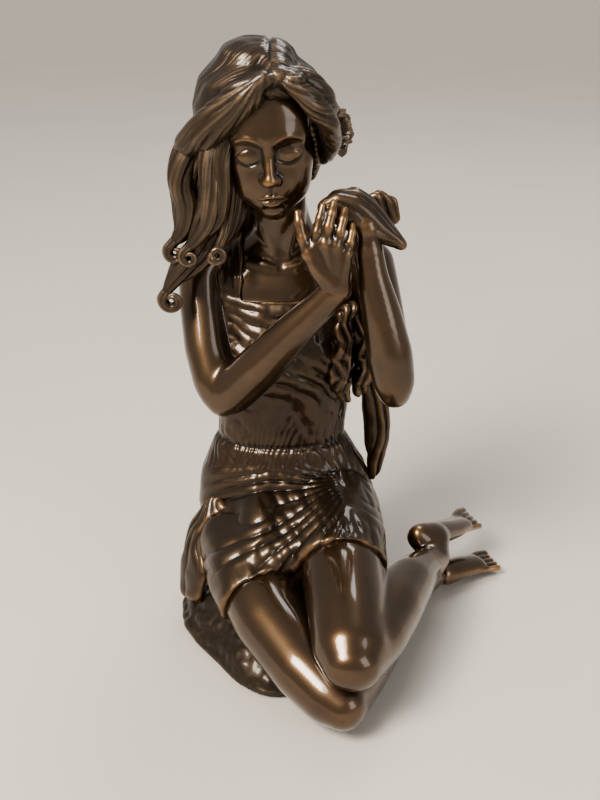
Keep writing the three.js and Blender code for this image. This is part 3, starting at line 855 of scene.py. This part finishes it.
def folded_cloth(name, step, blur, relief, shapes=()):
    """One cloth casting filled out by shapes. Its facets are smoothed away but its edges are kept.
    relief(points) is how far its folds stand out."""
    clay = Clay(*room_for(name), step)
    clay.add_node(name)
    for shape in shapes:
        clay.add(shape, 5)
    raw = clay.field.copy()
    clay.blur(blur)
    clay.field = np.maximum(clay.field - 0.3, raw - 0.8).astype(np.float32)
    surface = clay.mesh()
    surface.push(relief(surface.points))
    surface.relax(1)
    surface.find_wear(4)
    make_piece(f"cast_{name}", surface, [name], CLOTH)


def side_fold_relief(p):
    _, y, z = p.T
    fan = np.arctan2(y - 10, 112 - z) * 7
    return 1.5 * crests(fan + 0.4 * waves(p, 20, 6)) - 0.9 + 0.3 * waves(p, 8, 7)


def scarf_hand_relief(p):
    x, y, z = p.T
    fan = np.arctan2(z - 296, 70 - x) * 3.2 + y * 0.12 + 0.35 * waves(p, 18, 8)
    return 1.2 * crests(fan) * ramp(np.hypot(x - 70, z - 295), 4, 26) - 0.7 + 0.3 * waves(p, 9, 9)


def gathers_relief(p):
    x, y, z = p.T
    zigzag = np.abs((z / 26) % 1 * 2 - 1)
    pleat = crests(x * 0.13 + y * 0.08 + 0.75 * zigzag + 0.25 * waves(p, 24, 10), 0.8)
    crease = (1 - np.abs(waves(p, 19, 14))) ** 2
    return 2.3 * pleat + 1.5 * crease - 2.0


def tail_relief(p):
    x, y, z = p.T
    phase = (x - 57) * 0.12 + y * 0.07 + 0.3 * np.sin(z / 13) + 0.35 * waves(p, 26, 12)
    return 2.3 * crests(phase, 0.8) - 1.5 + 0.4 * waves(p, 9, 13)


# ---- Hands and feet ------------------------------------------------------------------------------
def body_past(clay, past):
    """The body on a fine clay's grid. It covers the coarser body once it is past mm beyond the cut."""
    return BODY.like(clay) - 0.15 * ramp(past, 0, 4).astype(np.float32)


def fine_limb(name, low, high, add_shapes, cut_at, cut_facing):
    """A hand or foot in fine clay on the end of its limb, cut where its casting starts."""
    clay = Clay(low, high, FINE_STEP)
    x, y, z = clay.grid()
    past = (x - cut_at[0]) * cut_facing[0] + (y - cut_at[1]) * cut_facing[1] + (z - cut_at[2]) * cut_facing[2]
    clay.field = body_past(clay, past)
    add_shapes(clay)
    surface = clay.mesh()
    surface.find_wear(6)
    make_piece(f"cast_{name}", surface, [name], SKIN, planes=[(cut_at, cut_facing)])


def add_finger(clay, joints, radius, nail_face, k=1.6):
    """A finger through its joints, a little thicker at each of them, with its nail."""
    joints = np.asarray(joints, float)
    sizes = radius * np.array([1.1, 1.0, 0.93, 0.78])[: len(joints)]
    clay.add(Rod(joints, sizes, 5), k)
    clay.add(Ball(joints[0], sizes[0]), 3)
    for joint, size in zip(joints[1:-1], sizes[1:-1]):
        clay.add(Ball(joint, size * 1.03), 1.5)
    along = unit(joints[-1] - joints[-2])
    face = np.asarray(nail_face, float)
    face = unit(face - along * (face @ along))
    place = joints[-1] + face * sizes[-1] * 0.62 - along * 0.4
    clay.add(Rod([place - along * 1.4, place + along * 1.5], [radius * 0.36, radius * 0.34], 1), 0.4)


def right_hand_shapes(clay):
    """The open hand, with its back to the front."""
    wrist = (24, -35.5, 270)
    knuckles = [(8.8, -37, 298.5), (15.8, -38.6, 301.5), (22.8, -38.6, 300), (29.6, -37.2, 294.5)]
    for place, size in zip(knuckles, (4.3, 4.5, 4.3, 3.9)):
        clay.add(Rod([wrist, place], [6.2, size], 1), 5)
    clay.add(Ball((18.5, -35, 287), (12, 5.5, 14)), 4)
    clay.add(Rod([(20, -37, 274), (12, -39, 283), (5.5, -38.5, 295)], [6.2, 5.4, 4.4]), 4)
    clay.add(Ball((9.5, -36.8, 291), (5, 3.4, 7)), 3)
    fingers = [
        [(8.8, -37.2, 298.5), (10.6, -37.8, 308), (12.6, -35.6, 316.5), (14.2, -32.4, 323.5)],
        [(15.8, -38.6, 301.5), (17.8, -38.6, 311.5), (19.8, -35.8, 319.5), (21.2, -32.2, 325.5)],
        [(22.8, -38.6, 300), (25.2, -38, 308.5), (27, -35, 315.5), (28.2, -31.5, 320.5)],
        [(29.6, -37.2, 294.5), (31.6, -36.6, 301.5), (32.8, -34, 307), (33.2, -31.2, 311)],
    ]
    for joints, size in zip(fingers, (3.1, 3.3, 3.1, 2.7)):
        add_finger(clay, joints, size, (0, -1, 0.3))
    thumb = [(5.5, -38.5, 294), (1.6, -37.4, 304.5), (-0.6, -34.8, 314), (-1.2, -33, 319)]
    add_finger(clay, thumb, 3.5, (-0.5, -1, 0.2))
    clay.blur(FINE_STEP)
    for place in knuckles:
        start = np.array(wrist) + (np.array(place) - wrist) * 0.45 + (0, -4.4, 0)
        clay.add(Rod([start, np.array(place) + (0, -3.0, 0)], [0.4, 0.8], 1), 3)


def left_hand_shapes(clay):
    """The hand that is bent over under the scarf."""
    back = [(43, -23, 303), (42, -22, 308), (36, -19, 314), (27, -18, 316)]
    clay.add(Rod(back, [8, 9, 8.4, 7]), 3)
    for joints in (
        [(25, -24, 315), (17, -23.5, 313), (12, -21, 305)],
        [(25, -17, 316), (16, -16.5, 314), (11, -14, 306)],
        [(26, -11, 315), (18, -9.5, 313), (13, -8, 305)],
    ):
        add_finger(clay, joints, 3.2, (-0.6, 0, 0.8))


def foot_shapes(name, root, across, along, balls):
    """A foot from its casting, with toes side by side from the big toe's root, and balls for heel and ankles."""
    root, across, along = (np.array(a, float) for a in (root, across, along))

    def add(clay):
        window, foot = clay.casting(name)
        foot.blur(2.2)
        clay.field[window] = smooth_min(clay.field[window], foot.field - 0.2, 2.5)
        for place, radius in balls:
            clay.add(Ball(place, radius), 6)
        for i in range(5):
            start = root + across * (2 + (i - 2) * 0.7) - along * 0.6
            middle = root + across * i + along * 0.35 + (0, 0, 0.8)
            end = root + across * i + along * (1.02 if i == 0 else 0.98 - 0.1 * i)
            radius = 3.7 if i == 0 else 2.95 - 0.1 * i
            clay.add(Rod([start, middle, end], [radius * 0.7, radius * 0.95, radius * 0.94]), 1.6)
            nail = end + np.array([0, 0, radius * 0.6])
            clay.add(Rod([nail - unit(along), nail + unit(along)], [radius * 0.4, radius * 0.38], 1), 0.4)

    return add


def make_hands_and_feet():
    low, high = box_mm("right_hand")
    fine_limb("right_hand", low - 5, high + 5, right_hand_shapes, (23.5, -35, 269.5), (0.3, -0.1, 0.95))
    low, high = box_mm("left_hand")
    fine_limb("left_hand", low - (4, 4, 16), high + 4, left_hand_shapes, (43, -24, 289), (-0.1, 0.05, 1))
    low, high = box_mm("right_foot")
    add = foot_shapes("right_foot", (143, 52, 8.5), (3.4, -4.2, -0.2), (12.5, 8.5, -2), [((99, 12, 17), 8)])
    fine_limb("right_foot", low - (12, 16, 4), high + 4, add, (91, -4, 15.5), (0.6, 0.8, -0.07))
    low, high = box_mm("left_foot")
    balls = [((97, 5, 52), 9), ((107, 12, 52), 9), ((104, 2, 46), 10)]
    add = foot_shapes("left_foot", (129, 66, 41), (3.9, -3.2, -1.2), (9, 13, -3.5), balls)
    fine_limb("left_foot", low - (16, 16, 8), high + 4, add, (95, -18, 45), (0.55, 0.83, -0.1))


# ---- Head ----------------------------------------------------------------------------------------
HEAD_AT = np.array([-20.0, 14.0, 364.0])
HEAD_BOW = math.radians(12)
HEAD_LEAN = math.radians(-4)
HEAD_TURN = np.array(Matrix.Rotation(HEAD_BOW, 3, "X") @ Matrix.Rotation(HEAD_LEAN, 3, "Y"))
NECK_CUT = 304.0
HEAD_BACK = 40.0  # the hair hides all that is further back
LASHES = [(4.8, -7.4), (8.4, -9.9), (12.6, -11.0), (16.8, -9.8), (20.8, -6.6)]
LASH_DEPTH = [0.4, 0.8, 0.95, 0.85, 0.4]


def out_of_head(points):
    """Points of the head's own frame (X to her left, -Y forward, Z up) in the frame of the whole."""
    return np.asarray(points, float) @ HEAD_TURN.T + HEAD_AT


def head_ball(x, y, z, *radii):
    return Ball(out_of_head((x, y, z)), radii, HEAD_TURN)


def head_rod(points, radii, smooth=5):
    return Rod(out_of_head(points), radii, smooth)


def on_face(clay, places, out):
    """Points of the face's surface at x and z of the head's frame, moved out mm forward."""
    forward = np.arange(-62, 0, 0.2)
    found = []
    for x, z in places:
        line = out_of_head(np.stack([np.full_like(forward, x), forward, np.full_like(forward, z)], 1))
        inside = np.nonzero(clay.sample(line) < 0)[0]
        found.append(line[inside[0]] + HEAD_TURN @ (0, -out, 0))
    return np.array(found)


def ridge(clay, places, radii, out, k):
    """A raised line along the face."""
    clay.add(Rod(on_face(clay, places, out), radii, 4), k)


def groove(clay, places, radii, out, k):
    """A sunk line along the face."""
    clay.carve(Rod(on_face(clay, places, out), radii, 4), k)


def mirrored(places, side):
    return [(x * side, z) for x, z in places]


def sculpt_skull(clay):
    clay.add(head_ball(0, 4, 6, 31, 40, 35), 2)
    clay.add(head_ball(0, -9, -18, 27, 27, 34), 6)
    clay.add(head_ball(0, -12, -35, 20.5, 20, 14.5), 7)
    clay.add(head_ball(0, -26.0, -44.5, 9, 8.4, 7), 8)
    clay.add(head_ball(0, -21, 12, 26, 14.6, 21), 7)
    for side in (1, -1):
        clay.add(head_ball(17 * side, -23, -13, 10, 9, 9), 8)
        clay.add(head_ball(12.5 * side, -25, -27, 11.5, 10.5, 12), 8)


def sculpt_features(clay):
    """The broad forms: brow, eye sockets, lids, nose and mouth."""
    for side in (1, -1):
        brow = [(19 * side, -27, 4.5), (10 * side, -31.4, 6), (2 * side, -32, 4)]
        clay.add(head_rod(brow, [3.2, 3.8, 3.6]), 8)
        clay.carve(head_ball(12.6 * side, -42.4, -2.6, 11, 8.4, 5.6), 6)
        clay.carve(head_ball(5.2 * side, -39.6, -4.6, 3.0, 4.4, 4.4), 4)
        clay.add(head_ball(12.7 * side, -26.4, -5.6, 10, 8.8, 7.4), 3.5)
        clay.add(head_ball(4.0 * side, -38.8, -20.4, 3.1, 3.9, 2.9), 2.6)
    bridge = [(0, -32.6, 3), (0, -35.9, -5), (0, -39.4, -13), (0, -41.9, -18.6)]
    clay.add(head_rod(bridge, [3.4, 3.0, 3.1, 3.3]), 4.5)
    clay.add(head_ball(0, -41.4, -19.2, 3.9, 3.6, 3.3), 2.5)
    clay.add(head_ball(0, -27.2, -33, 13, 10.2, 10.5), 7)


def sculpt_lines(clay):
    """The fine forms: brows, lid folds, lashes, nostrils and lips."""
    crease = [(8.0, -1.8), (12.8, -0.2), (17.4, -1.6), (20.6, -4.0)]
    brow = [(4.2, 3.4), (9, 6.6), (14.4, 7.4), (20, 4.6)]
    for side in (1, -1):
        ridge(clay, mirrored(brow, side), [0.4, 0.8, 0.7, 0.3], -0.45, 2.2)
        groove(clay, mirrored(crease, side), [0.3, 0.5, 0.5, 0.3], 0.25, 1.0)
        groove(clay, mirrored(LASHES, side), LASH_DEPTH, 0.1, 0.3)
        clay.carve(head_rod([(2.2 * side, -40.8, -23.8), (2.6 * side, -38.6, -22.4)], [0.9, 1.1], 1), 0.6)
    groove(clay, [(0, -25.4), (0, -29.4)], [0.8, 1.0], 0.35, 1.4)
    upper = [(-9.2, -33.4), (-5.4, -32.0), (-2.0, -31.0), (0, -31.6), (2.0, -31.0), (5.4, -32.0), (9.2, -33.4)]
    lower = [(-8.0, -34.6), (-4.0, -36.0), (0, -36.6), (4.0, -36.0), (8.0, -34.6)]
    line = [(-9.6, -33.4), (-5, -33.9), (-2, -33.6), (0, -34.0), (2, -33.6), (5, -33.9), (9.6, -33.4)]
    upper_lip = Rod(on_face(clay, upper, -0.5), [0.5, 1.2, 1.55, 1.4, 1.55, 1.2, 0.5], 4)
    lower_lip = Rod(on_face(clay, lower, -0.6), [0.5, 1.6, 2.0, 1.6, 0.5], 4)
    for lip in (upper_lip, lower_lip):
        clay.add(lip, 0.8)
    groove(clay, line, [0.35, 0.5, 0.55, 0.55, 0.55, 0.5, 0.35], 0.0, 0.5)
    groove(clay, [(-4, -40.8), (0, -41.2), (4, -40.8)], 1.5, 0.9, 3)


def sculpt_ears(clay):
    rim = [(29, 0, -14), (31, 2, -4), (31.5, 7, 2), (31, 12, -2), (30, 11, -12), (28, 4, -20)]
    for side in (1, -1):
        clay.add(head_rod(np.array(rim) * (side, 1, 1), [1.6, 1.8, 1.9, 1.8, 1.6, 2.2]), 1.5)


def make_head():
    low, high = box_mm("head")
    clay = Clay((low[0] - 6, low[1] - 8, NECK_CUT - 4), high + 5, FINE_STEP)
    sculpt_skull(clay)
    sculpt_features(clay)
    sculpt_ears(clay)
    clay.blur(FINE_STEP)
    sculpt_lines(clay)
    z = clay.grid()[2]
    clay.field = smooth_min(clay.field, body_past(clay, z - NECK_CUT), 4)
    surface = clay.mesh()
    surface.find_wear(12)
    x, y, z = surface.points.T
    for side in (1, -1):
        lashes = Rod(on_face(clay, mirrored(LASHES, side), 0.0), LASH_DEPTH, 4)
        shade = 1 - ramp(lashes.distance(x, y, z), 0.2, 0.9)
        surface.values["hollow"] = np.maximum(surface.values["hollow"], shade)
        surface.values["worn"] *= 1 - shade
    surface.values["worn"] *= 0.7
    planes = [((0, 0, NECK_CUT), (0, 0, 1)), ((0, HEAD_BACK, 0), (0, -1, 0))]
    make_piece("cast_head", surface, ["head"], SKIN, planes=planes)


# ---- Hair ----------------------------------------------------------------------------------------
FRONT_HAIR = ["hair_front_sweep", "hair_left_side"]
TOWARDS_FRONT = np.array([0.0, -1.0, 0.0])
PARTING_END = (2.0, 41.0)  # where the parting meets the forehead, in the head's frame


def comb_crown(surface, front_share):
    """Strands over the head from the parting to the ears. At the front they spread from the parting's end."""
    local = (surface.points - HEAD_AT) @ HEAD_TURN
    x, y, z = local.T
    around = np.arctan2(z + 5 + 27 * ramp(-x, -5, 12), -(y - 6))
    from_parting = x - PARTING_END[0], z - PARTING_END[1] - 6
    fan = np.arctan2(from_parting[1], from_parting[0])
    sway = waves(local, 34, 41)
    small = 0.3 * waves(local, 15, 42)
    loose = ramp(waves(local, 22, 44), -0.5, 0.7)
    top = 0.8 * crests(around * 5.5 + 0.5 * sway, 0.9)
    top += 0.5 * loose * crests(around * 13 + 0.9 * sway + small)
    top += 0.16 * crests(around * 41 + 2.2 * sway + 2 * small, 0.7)
    low = 0.9 * crests(fan * 5 + 0.3 * sway, 0.8) + 0.5 * crests(fan * 12 + 0.5 * sway + small)
    low += 0.15 * crests(fan * 34 + 1.2 * sway + 2 * small, 0.7)
    low *= ramp(np.hypot(*from_parting), 6, 20)
    parting = np.exp(-(((x - 2 - 0.12 * (z - 35)) / 1.7) ** 2)) * ramp(z, 12, 26)
    relief = front_share * low + (1 - front_share) * top
    surface.push((relief - 0.8) * (1 - parting) - 1.5 * parting)
    surface.values["strand"] = np.where(front_share > 0.5, fan * 50 + 2 * sway, around * 42 + 3 * sway)


def make_crown():
    names = ["hair_crown", *FRONT_HAIR]
    clay, raw, front = (Clay(*room_for(*names), HAIR_STEP) for _ in range(3))
    for name in names:
        clay.add_node(name, 6)
        raw.add_node(name, 1.5)
    for name in FRONT_HAIR:
        front.add_node(name, 2)
    over_forehead = [(-28, -13, 394), (-12, -19, 398), (4, -16, 397), (14, -12, 389), (19, -4, 379)]
    for shape in (
        head_ball(-2, -8, 33, 32, 24, 12),
        Rod([(-24, -24, 398), (-13, -25, 400), (-4, -25, 397)], [4, 4.5, 4]),
        Rod([(-13, -18, 402), (-14, -6, 406), (-15, 6, 409)], [6.5, 9, 10]),
        Rod(over_forehead, [6, 6, 6, 6, 5]),
    ):
        clay.add(shape, 6)
        raw.add(shape, 3)
    clay.blur(1.6)
    clay.field = np.maximum(clay.field - 0.5, raw.field - 0.9).astype(np.float32)
    surface = clay.mesh()
    comb_crown(surface, ramp(-front.sample(surface.points), -5.0, -1.5))
    surface.find_wear(4)
    share_out(surface, clay, names, HAIR, 20.0)


def resampled(path, count):
    """A path's rows, evenly spaced along it."""
    far = np.concatenate([[0], np.cumsum(np.linalg.norm(np.diff(path[:, :3], axis=0), axis=1))])
    at = np.linspace(0, far[-1], count)
    return np.stack([np.interp(at, far, path[:, i]) for i in range(path.shape[1])], 1)


def frames_along(centre):
    """(side, front) of each point of a path. Its front is square to it, and as nearly forward as it can be."""
    along = np.gradient(centre, axis=0)
    along /= np.maximum(np.linalg.norm(along, axis=1, keepdims=True), 1e-9)
    side = np.cross(along, TOWARDS_FRONT)
    side /= np.maximum(np.linalg.norm(side, axis=1, keepdims=True), 1e-9)
    return side, np.cross(side, along)


def strand_tube(path, seed, strands=4, twist=1.0, rows=110, sides=60):
    """One lock with strands along it. path is rows of x, y, z, half its width and half its thickness."""
    rng = np.random.default_rng(seed)
    path = resampled(spline(path, 8), rows)
    centre, wide, thick = path[:, :3], path[:, 3], path[:, 4]
    side, front = frames_along(centre)
    u = np.linspace(0, 1, rows)[:, None]
    angle = np.linspace(0, 2 * math.pi, sides, endpoint=False)[None]
    lay = angle + twist * u + 0.3 * np.sin(u * 7 + rng.uniform(0, 6))
    crest = np.abs(np.cos(strands * lay / 2)) ** 0.6
    fine = np.abs(np.cos(strands * 2 * lay + rng.uniform(0, 6))) ** 0.7
    size = np.minimum(wide, thick)[:, None]
    out = 1 + 0.3 * (crest - 0.62) + 0.06 * (fine - 0.6)
    out = out * np.sqrt(np.clip(np.minimum(u * rows / 5, (1 - u) * rows / 5), 0.02, 1))
    across = wide[:, None] * np.cos(angle) * out
    forward = thick[:, None] * np.sin(angle) * out
    points = centre[:, None] + side[:, None] * across[..., None] + front[:, None] * forward[..., None]
    surface = grid_surface(points, True)
    strand = (np.cos(lay) * size * 1.6 + rng.uniform(0, 90)).ravel()
    surface.values["strand"] = np.append(strand, [strand[0], strand[-1]])
    surface.find_wear(2)
    return surface


def curl_path(end, heading, turn, radius, size, turns=1.35):
    """Points of a flat spiral that goes on from end. heading and turn are seen from the front."""
    x, y, z = end
    rows = []
    total = turns * 2 * math.pi
    gone = 0.0
    step = 0.32
    while gone < total:
        share = gone / total
        reach = radius * (1 - 0.62 * share)
        heading += turn * step
        gone += step
        x += reach * step * math.cos(heading)
        z += reach * step * math.sin(heading)
        y -= 0.35 * step
        rows.append((x, y, z, size * (1 - 0.45 * share), size * (1 - 0.4 * share)))
    return rows


def tress(path, seed, count, curl=None, wind=2.4, share=0.7):
    """A mass of locks that wind round one another along a path. The first goes on into its curl."""
    rng = np.random.default_rng(seed)
    base = spline(path, 6)
    u = np.linspace(0, 1, len(base))
    side, front = frames_along(base[:, :3])
    tubes = []
    for i in range(count):
        phase = 2 * math.pi * i / count + wind * u + rng.uniform(-0.3, 0.3)
        close = 1 - 0.55 * ramp(u, 0.6, 1.0)
        centre = base[:, :3] + side * (0.55 * close * base[:, 3] * np.cos(phase))[:, None]
        centre = centre + front * (0.5 * close * base[:, 4] * np.sin(phase))[:, None]
        wide = share * base[:, 3] * rng.uniform(0.85, 1.1)
        thick = share * base[:, 4] * rng.uniform(0.9, 1.15)
        rows = np.column_stack([centre, wide, thick])
        if i == 0 and curl:
            size, heading, turn, radius, turns = curl
            rows[-3:, 3:] = size
            bend = curl_path(rows[-1, :3], math.radians(heading), turn, radius, size, turns)
            rows = np.vstack([rows, bend])
        elif i:
            stop = int(len(rows) * rng.uniform(0.86, 1.0))
            rows = rows[:stop]
            taper = ramp(-np.linspace(0, 1, stop), -1, -0.6)[:, None]
            rows[:, 3:] *= 0.25 + 0.75 * taper
        tubes.append(strand_tube(rows, seed * 10 + i))
    return together(tubes)


# Each lock's path for tress, then its curl: its size, the way it starts, its turn, its radius and its turns.
LOCKS = {
    "hair_lock_long": (
        [
            (-50, 6, 376, 7, 7),
            (-66, 2, 354, 11, 9),
            (-75, 1, 334, 11, 9),
            (-74, 1, 317, 10, 8),
            (-78, 0, 302, 8, 7),
            (-87, -2, 291, 5, 5),
        ],
        (3.7, 205, 1, 5.4, 1.0),
    ),
    "hair_lock_middle": (
        [
            (-44, -4, 378, 6, 6),
            (-54, -10, 352, 9, 7),
            (-56, -13, 327, 9, 7),
            (-60, -11, 310, 8, 6.5),
            (-69, -10, 297, 6, 5),
            (-77, -10, 289, 3.6, 3.6),
        ],
        (3.0, 215, 1, 4.9, 1.1),
    ),
    "hair_lock_shoulder": (
        [
            (-42, 11, 326, 11, 9),
            (-51, 7, 308, 12, 9),
            (-63, 3, 292, 11, 8),
            (-77, 1, 277, 9, 7),
            (-88, -2, 264, 6, 5.5),
            (-94, -4, 255, 3.8, 3.8),
        ],
        (3.7, 250, 1, 6.2, 1.0),
    ),
    "hair_lock_inner": (
        [
            (-44, 2, 366, 8, 8),
            (-42, -2, 338, 7, 7),
            (-46, -6, 308, 5.5, 5.5),
            (-52, -11, 294, 4.4, 4.4),
            (-59, -14, 285, 3.2, 3.2),
        ],
        (2.9, 300, 1, 5.0, 1.15),
    ),
}
BACK_HAIR = [
    (-22, 40, 396, 24, 12),
    (-26, 52, 372, 34, 14),
    (-33, 58, 340, 35, 15),
    (-40, 66, 302, 32, 14),
    (-44, 73, 266, 27, 11),
    (-46, 76, 236, 18, 8),
    (-45, 75, 216, 7, 5),
]


def make_tresses():
    for i, (name, (path, curl)) in enumerate(LOCKS.items()):
        make_piece(f"cast_{name}", tress(path, 50 + i, 3, curl), [name], HAIR)
    back = tress(BACK_HAIR, 60, 11, None, 1.2, 0.36)
    make_piece("cast_hair_back", back, ["hair_back"], HAIR)


# ---- Flower --------------------------------------------------------------------------------------
FLOWER_AT = np.array([21.0, 23.0, 362.0])
FLOWER_FACING = unit((0.75, -0.55, 0.3))
# Each ring of petals, from the outside: how many, their length, half width, cup and lift.
FLOWER_RINGS = [(5, 20, 10, 3, -1), (5, 15, 8, 7, 1.5), (4, 9, 5.5, 9, 3)]


def petal(angle, reach, wide, cup, lift, seed):
    """A cupped petal with a wavy edge, as a thin closed sheet."""
    rng = np.random.default_rng(seed)
    right = unit(np.cross((0, 0, 1), FLOWER_FACING))
    up = np.cross(FLOWER_FACING, right)
    outward = math.cos(angle) * right + math.sin(angle) * up
    across = np.cross(FLOWER_FACING, outward)
    r, c = np.meshgrid(np.linspace(0, 1, 22), np.linspace(-1, 1, 25), indexing="ij")
    width = wide * np.sin(math.pi * (0.1 + 0.78 * r)) ** 0.7
    far = reach * (r * (1 - 0.1 * c**2))
    rise = lift + cup * r**1.6 - 0.16 * wide * c**2 * (1 - r)
    rise = rise + 0.22 * wide * c**2 * r + 0.7 * r**2 * np.sin(5 * c + rng.uniform(0, 6))
    rise = rise - 2.4 * ramp(r, 0.75, 1.0)
    points = FLOWER_AT + outward * far[..., None] + across * (width * c)[..., None]
    points = points + FLOWER_FACING * rise[..., None]
    surface = grid_surface(points, False, 0.5 + 0.8 * (1 - r))
    surface.values["strand"] = np.concatenate([c, c[:, ::-1]], 1).ravel() * wide
    surface.find_wear(2)
    return surface


def make_flower():
    petals = []
    for ring, (count, reach, wide, cup, lift) in enumerate(FLOWER_RINGS):
        for i in range(count):
            angle = 2 * math.pi * (i + 0.45 * ring) / count
            petals.append(petal(angle, reach, wide, cup, lift, 70 + 10 * ring + i))
    make_piece("cast_hair_flower", together(petals), ["hair_flower"], HAIR)


# ---- Base and felt -------------------------------------------------------------------------------
POCKET_RADIUS = 9.0  # the room round each nut
POCKET_TOP = 13.5


def make_base():
    clay = Clay(*room_for("base_mound"), BASE_STEP)
    clay.add_node("base_mound")
    clay.blur(2.2)
    x, y, z = clay.grid()
    for name in ("seat_nut", "thigh_nut"):
        middle = np.mean(box_mm(name), 0)
        pocket = np.maximum(np.hypot(x - middle[0], y - middle[1]) - POCKET_RADIUS, z - POCKET_TOP)
        clay.field = np.maximum(clay.field, -pocket).astype(np.float32)
    surface = clay.mesh()
    p = surface.points
    z = p[:, 2]
    bottom = box_mm("base_mound")[0][2]
    stone = 1.3 * waves(p, 26, 21) + 0.7 * np.abs(waves(p, 11, 22)) + 0.3 * waves(p, 5, 23)
    terrace = 0.9 * crests(z / 9 + 0.6 * waves(p, 40, 24), 1.4)
    surface.push((stone + terrace - 0.9) * ramp(z, bottom + 1, bottom + 7))
    surface.points[:, 2] = np.maximum(surface.points[:, 2], bottom)
    surface.find_normals()
    surface.find_wear(4)
    make_piece("cast_base_mound", surface, ["base_mound"], BASE)


def make_felt():
    low, high = box_mm("felt_pad")
    clay = Clay(low - 3, high + 3, BASE_STEP)
    clay.add_node("felt_pad")
    surface = clay.mesh()
    outer = ramp(surface.points[:, 2], low[2] + 0.2, low[2] + 1)
    surface.push(0.15 * waves(surface.points, 4, 31) * outer)
    surface.find_wear(2)
    felt = make_piece("felt", surface, ["felt_pad"], FELT)
    a, b, c, d = surface.corners()


def paint_fixings():
    for name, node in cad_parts.items():
        if name.split("_")[-1] in ("stud", "nut", "washer"):
            node.data.materials.clear()
            node.data.materials.append(STEEL)


make_body()
paint_fixings()
make_gown()
folded_cloth("gown_side_fold", 0.7, 1.6, side_fold_relief)
over_hand = [(19, -19, 318), (32, -18, 316), (43, -19, 309), (54, -20, 303), (64, -22, 297)]
folded_cloth("scarf_over_hand", 0.55, 1.2, scarf_hand_relief, [Rod(over_hand, [6, 10.5, 10, 7, 3.4])])
folded_cloth("scarf_gathers", 0.6, 1.2, gathers_relief)
folded_cloth("scarf_tail", 0.6, 1.4, tail_relief)
make_hands_and_feet()
make_head()
make_crown()
make_tresses()
make_flower()
make_base()
make_felt()


# ---- Stage ---------------------------------------------------------------------------------------
CAMERA_DISTANCE = 0.693
CAMERA_HEIGHT_ANGLE = math.radians(24)
CAMERA_TARGET = Vector((0, 0, 0.1764))
CAMERA_LENS = 43.47
FIGURE_MIDDLE = Vector((0, 0, 0.2))
FLOOR_HALF = 30.0


def add_floor():
    """A plain pale floor, wide enough to reach the horizon."""
    mesh = bpy.data.meshes.new("floor")
    corners = [(x * FLOOR_HALF, y * FLOOR_HALF, 0) for x, y in ((-1, -1), (1, -1), (1, 1), (-1, 1))]
    mesh.from_pydata(corners, [], [(0, 1, 2, 3)])
    material, tree, shader = nodes_of("pale_paper")
    cloud = noise(tree, 3, 2)
    pale = mixed(tree, cloud, (0.56, 0.515, 0.455), (0.61, 0.565, 0.505))
    tree.links.new(pale, shader.inputs["Base Color"])
    shader.inputs["Roughness"].default_value = 0.85
    mesh.materials.append(material)
    sheet = bpy.data.objects.new("floor", mesh)
    bpy.context.scene.collection.objects.link(sheet)


def add_lamp(light, place, towards):
    lamp = bpy.data.objects.new(light.name, light)
    lamp.location = place
    lamp.rotation_euler = towards.to_track_quat("-Z", "Y").to_euler()
    bpy.context.scene.collection.objects.link(lamp)


def add_light(name, place, size, power, color):
    """A soft light aimed at the middle of the figure."""
    light = bpy.data.lights.new(name, "AREA")
    light.shape = "RECTANGLE"
    light.size, light.size_y = size
    light.energy = power
    light.color = color
    add_lamp(light, place, FIGURE_MIDDLE - Vector(place))


def add_daylight():
    light = bpy.data.lights.new("daylight", "SUN")
    light.energy = 1.6
    light.angle = math.radians(25)
    light.color = (1.0, 0.96, 0.9)
    add_lamp(light, (0, 0, 0), Vector((0.5, 0.55, -0.9)))


def add_room():
    """Pale light from all round, a little warmer and brighter near the floor."""
    world = bpy.data.worlds.new("room")
    world.use_nodes = True
    tree = world.node_tree
    coordinates = tree.nodes.new("ShaderNodeTexCoord")
    parts = tree.nodes.new("ShaderNodeSeparateXYZ")
    tree.links.new(coordinates.outputs["Generated"], parts.inputs["Vector"])
    above = mapped(tree, parts.outputs["Z"], 0, 0.3, 0, 1)
    wall = mixed(tree, above, (1.3, 1.17, 1.08), (0.92, 0.9, 0.87))
    tree.links.new(wall, tree.nodes["Background"].inputs["Color"])
    tree.nodes["Background"].inputs["Strength"].default_value = 0.45
    bpy.context.scene.world = world


def add_camera():
    camera = bpy.data.cameras.new("camera")
    camera.lens = CAMERA_LENS
    camera.sensor_width = 36
    holder = bpy.data.objects.new("camera", camera)
    back = Vector((0, -math.cos(CAMERA_HEIGHT_ANGLE), math.sin(CAMERA_HEIGHT_ANGLE)))
    holder.location = CAMERA_TARGET + back * CAMERA_DISTANCE
    holder.rotation_euler = (-back).to_track_quat("-Z", "Y").to_euler()
    bpy.context.scene.collection.objects.link(holder)
    bpy.context.scene.camera = holder


add_floor()
add_camera()
add_light("key", (-0.75, -0.75, 1.15), (0.5, 0.5), 22, (1.0, 0.95, 0.87))
add_light("fill", (1.1, -1.0, 0.8), (0.7, 1.0), 6, (0.93, 0.96, 1.0))
add_light("back", (0.5, 1.3, 2.4), (1.0, 1.0), 24, (0.97, 0.98, 1.0))
add_daylight()
add_room()
bpy.context.scene.view_settings.view_transform = "AgX"
bpy.context.scene.view_settings.look = "AgX - Medium High Contrast"
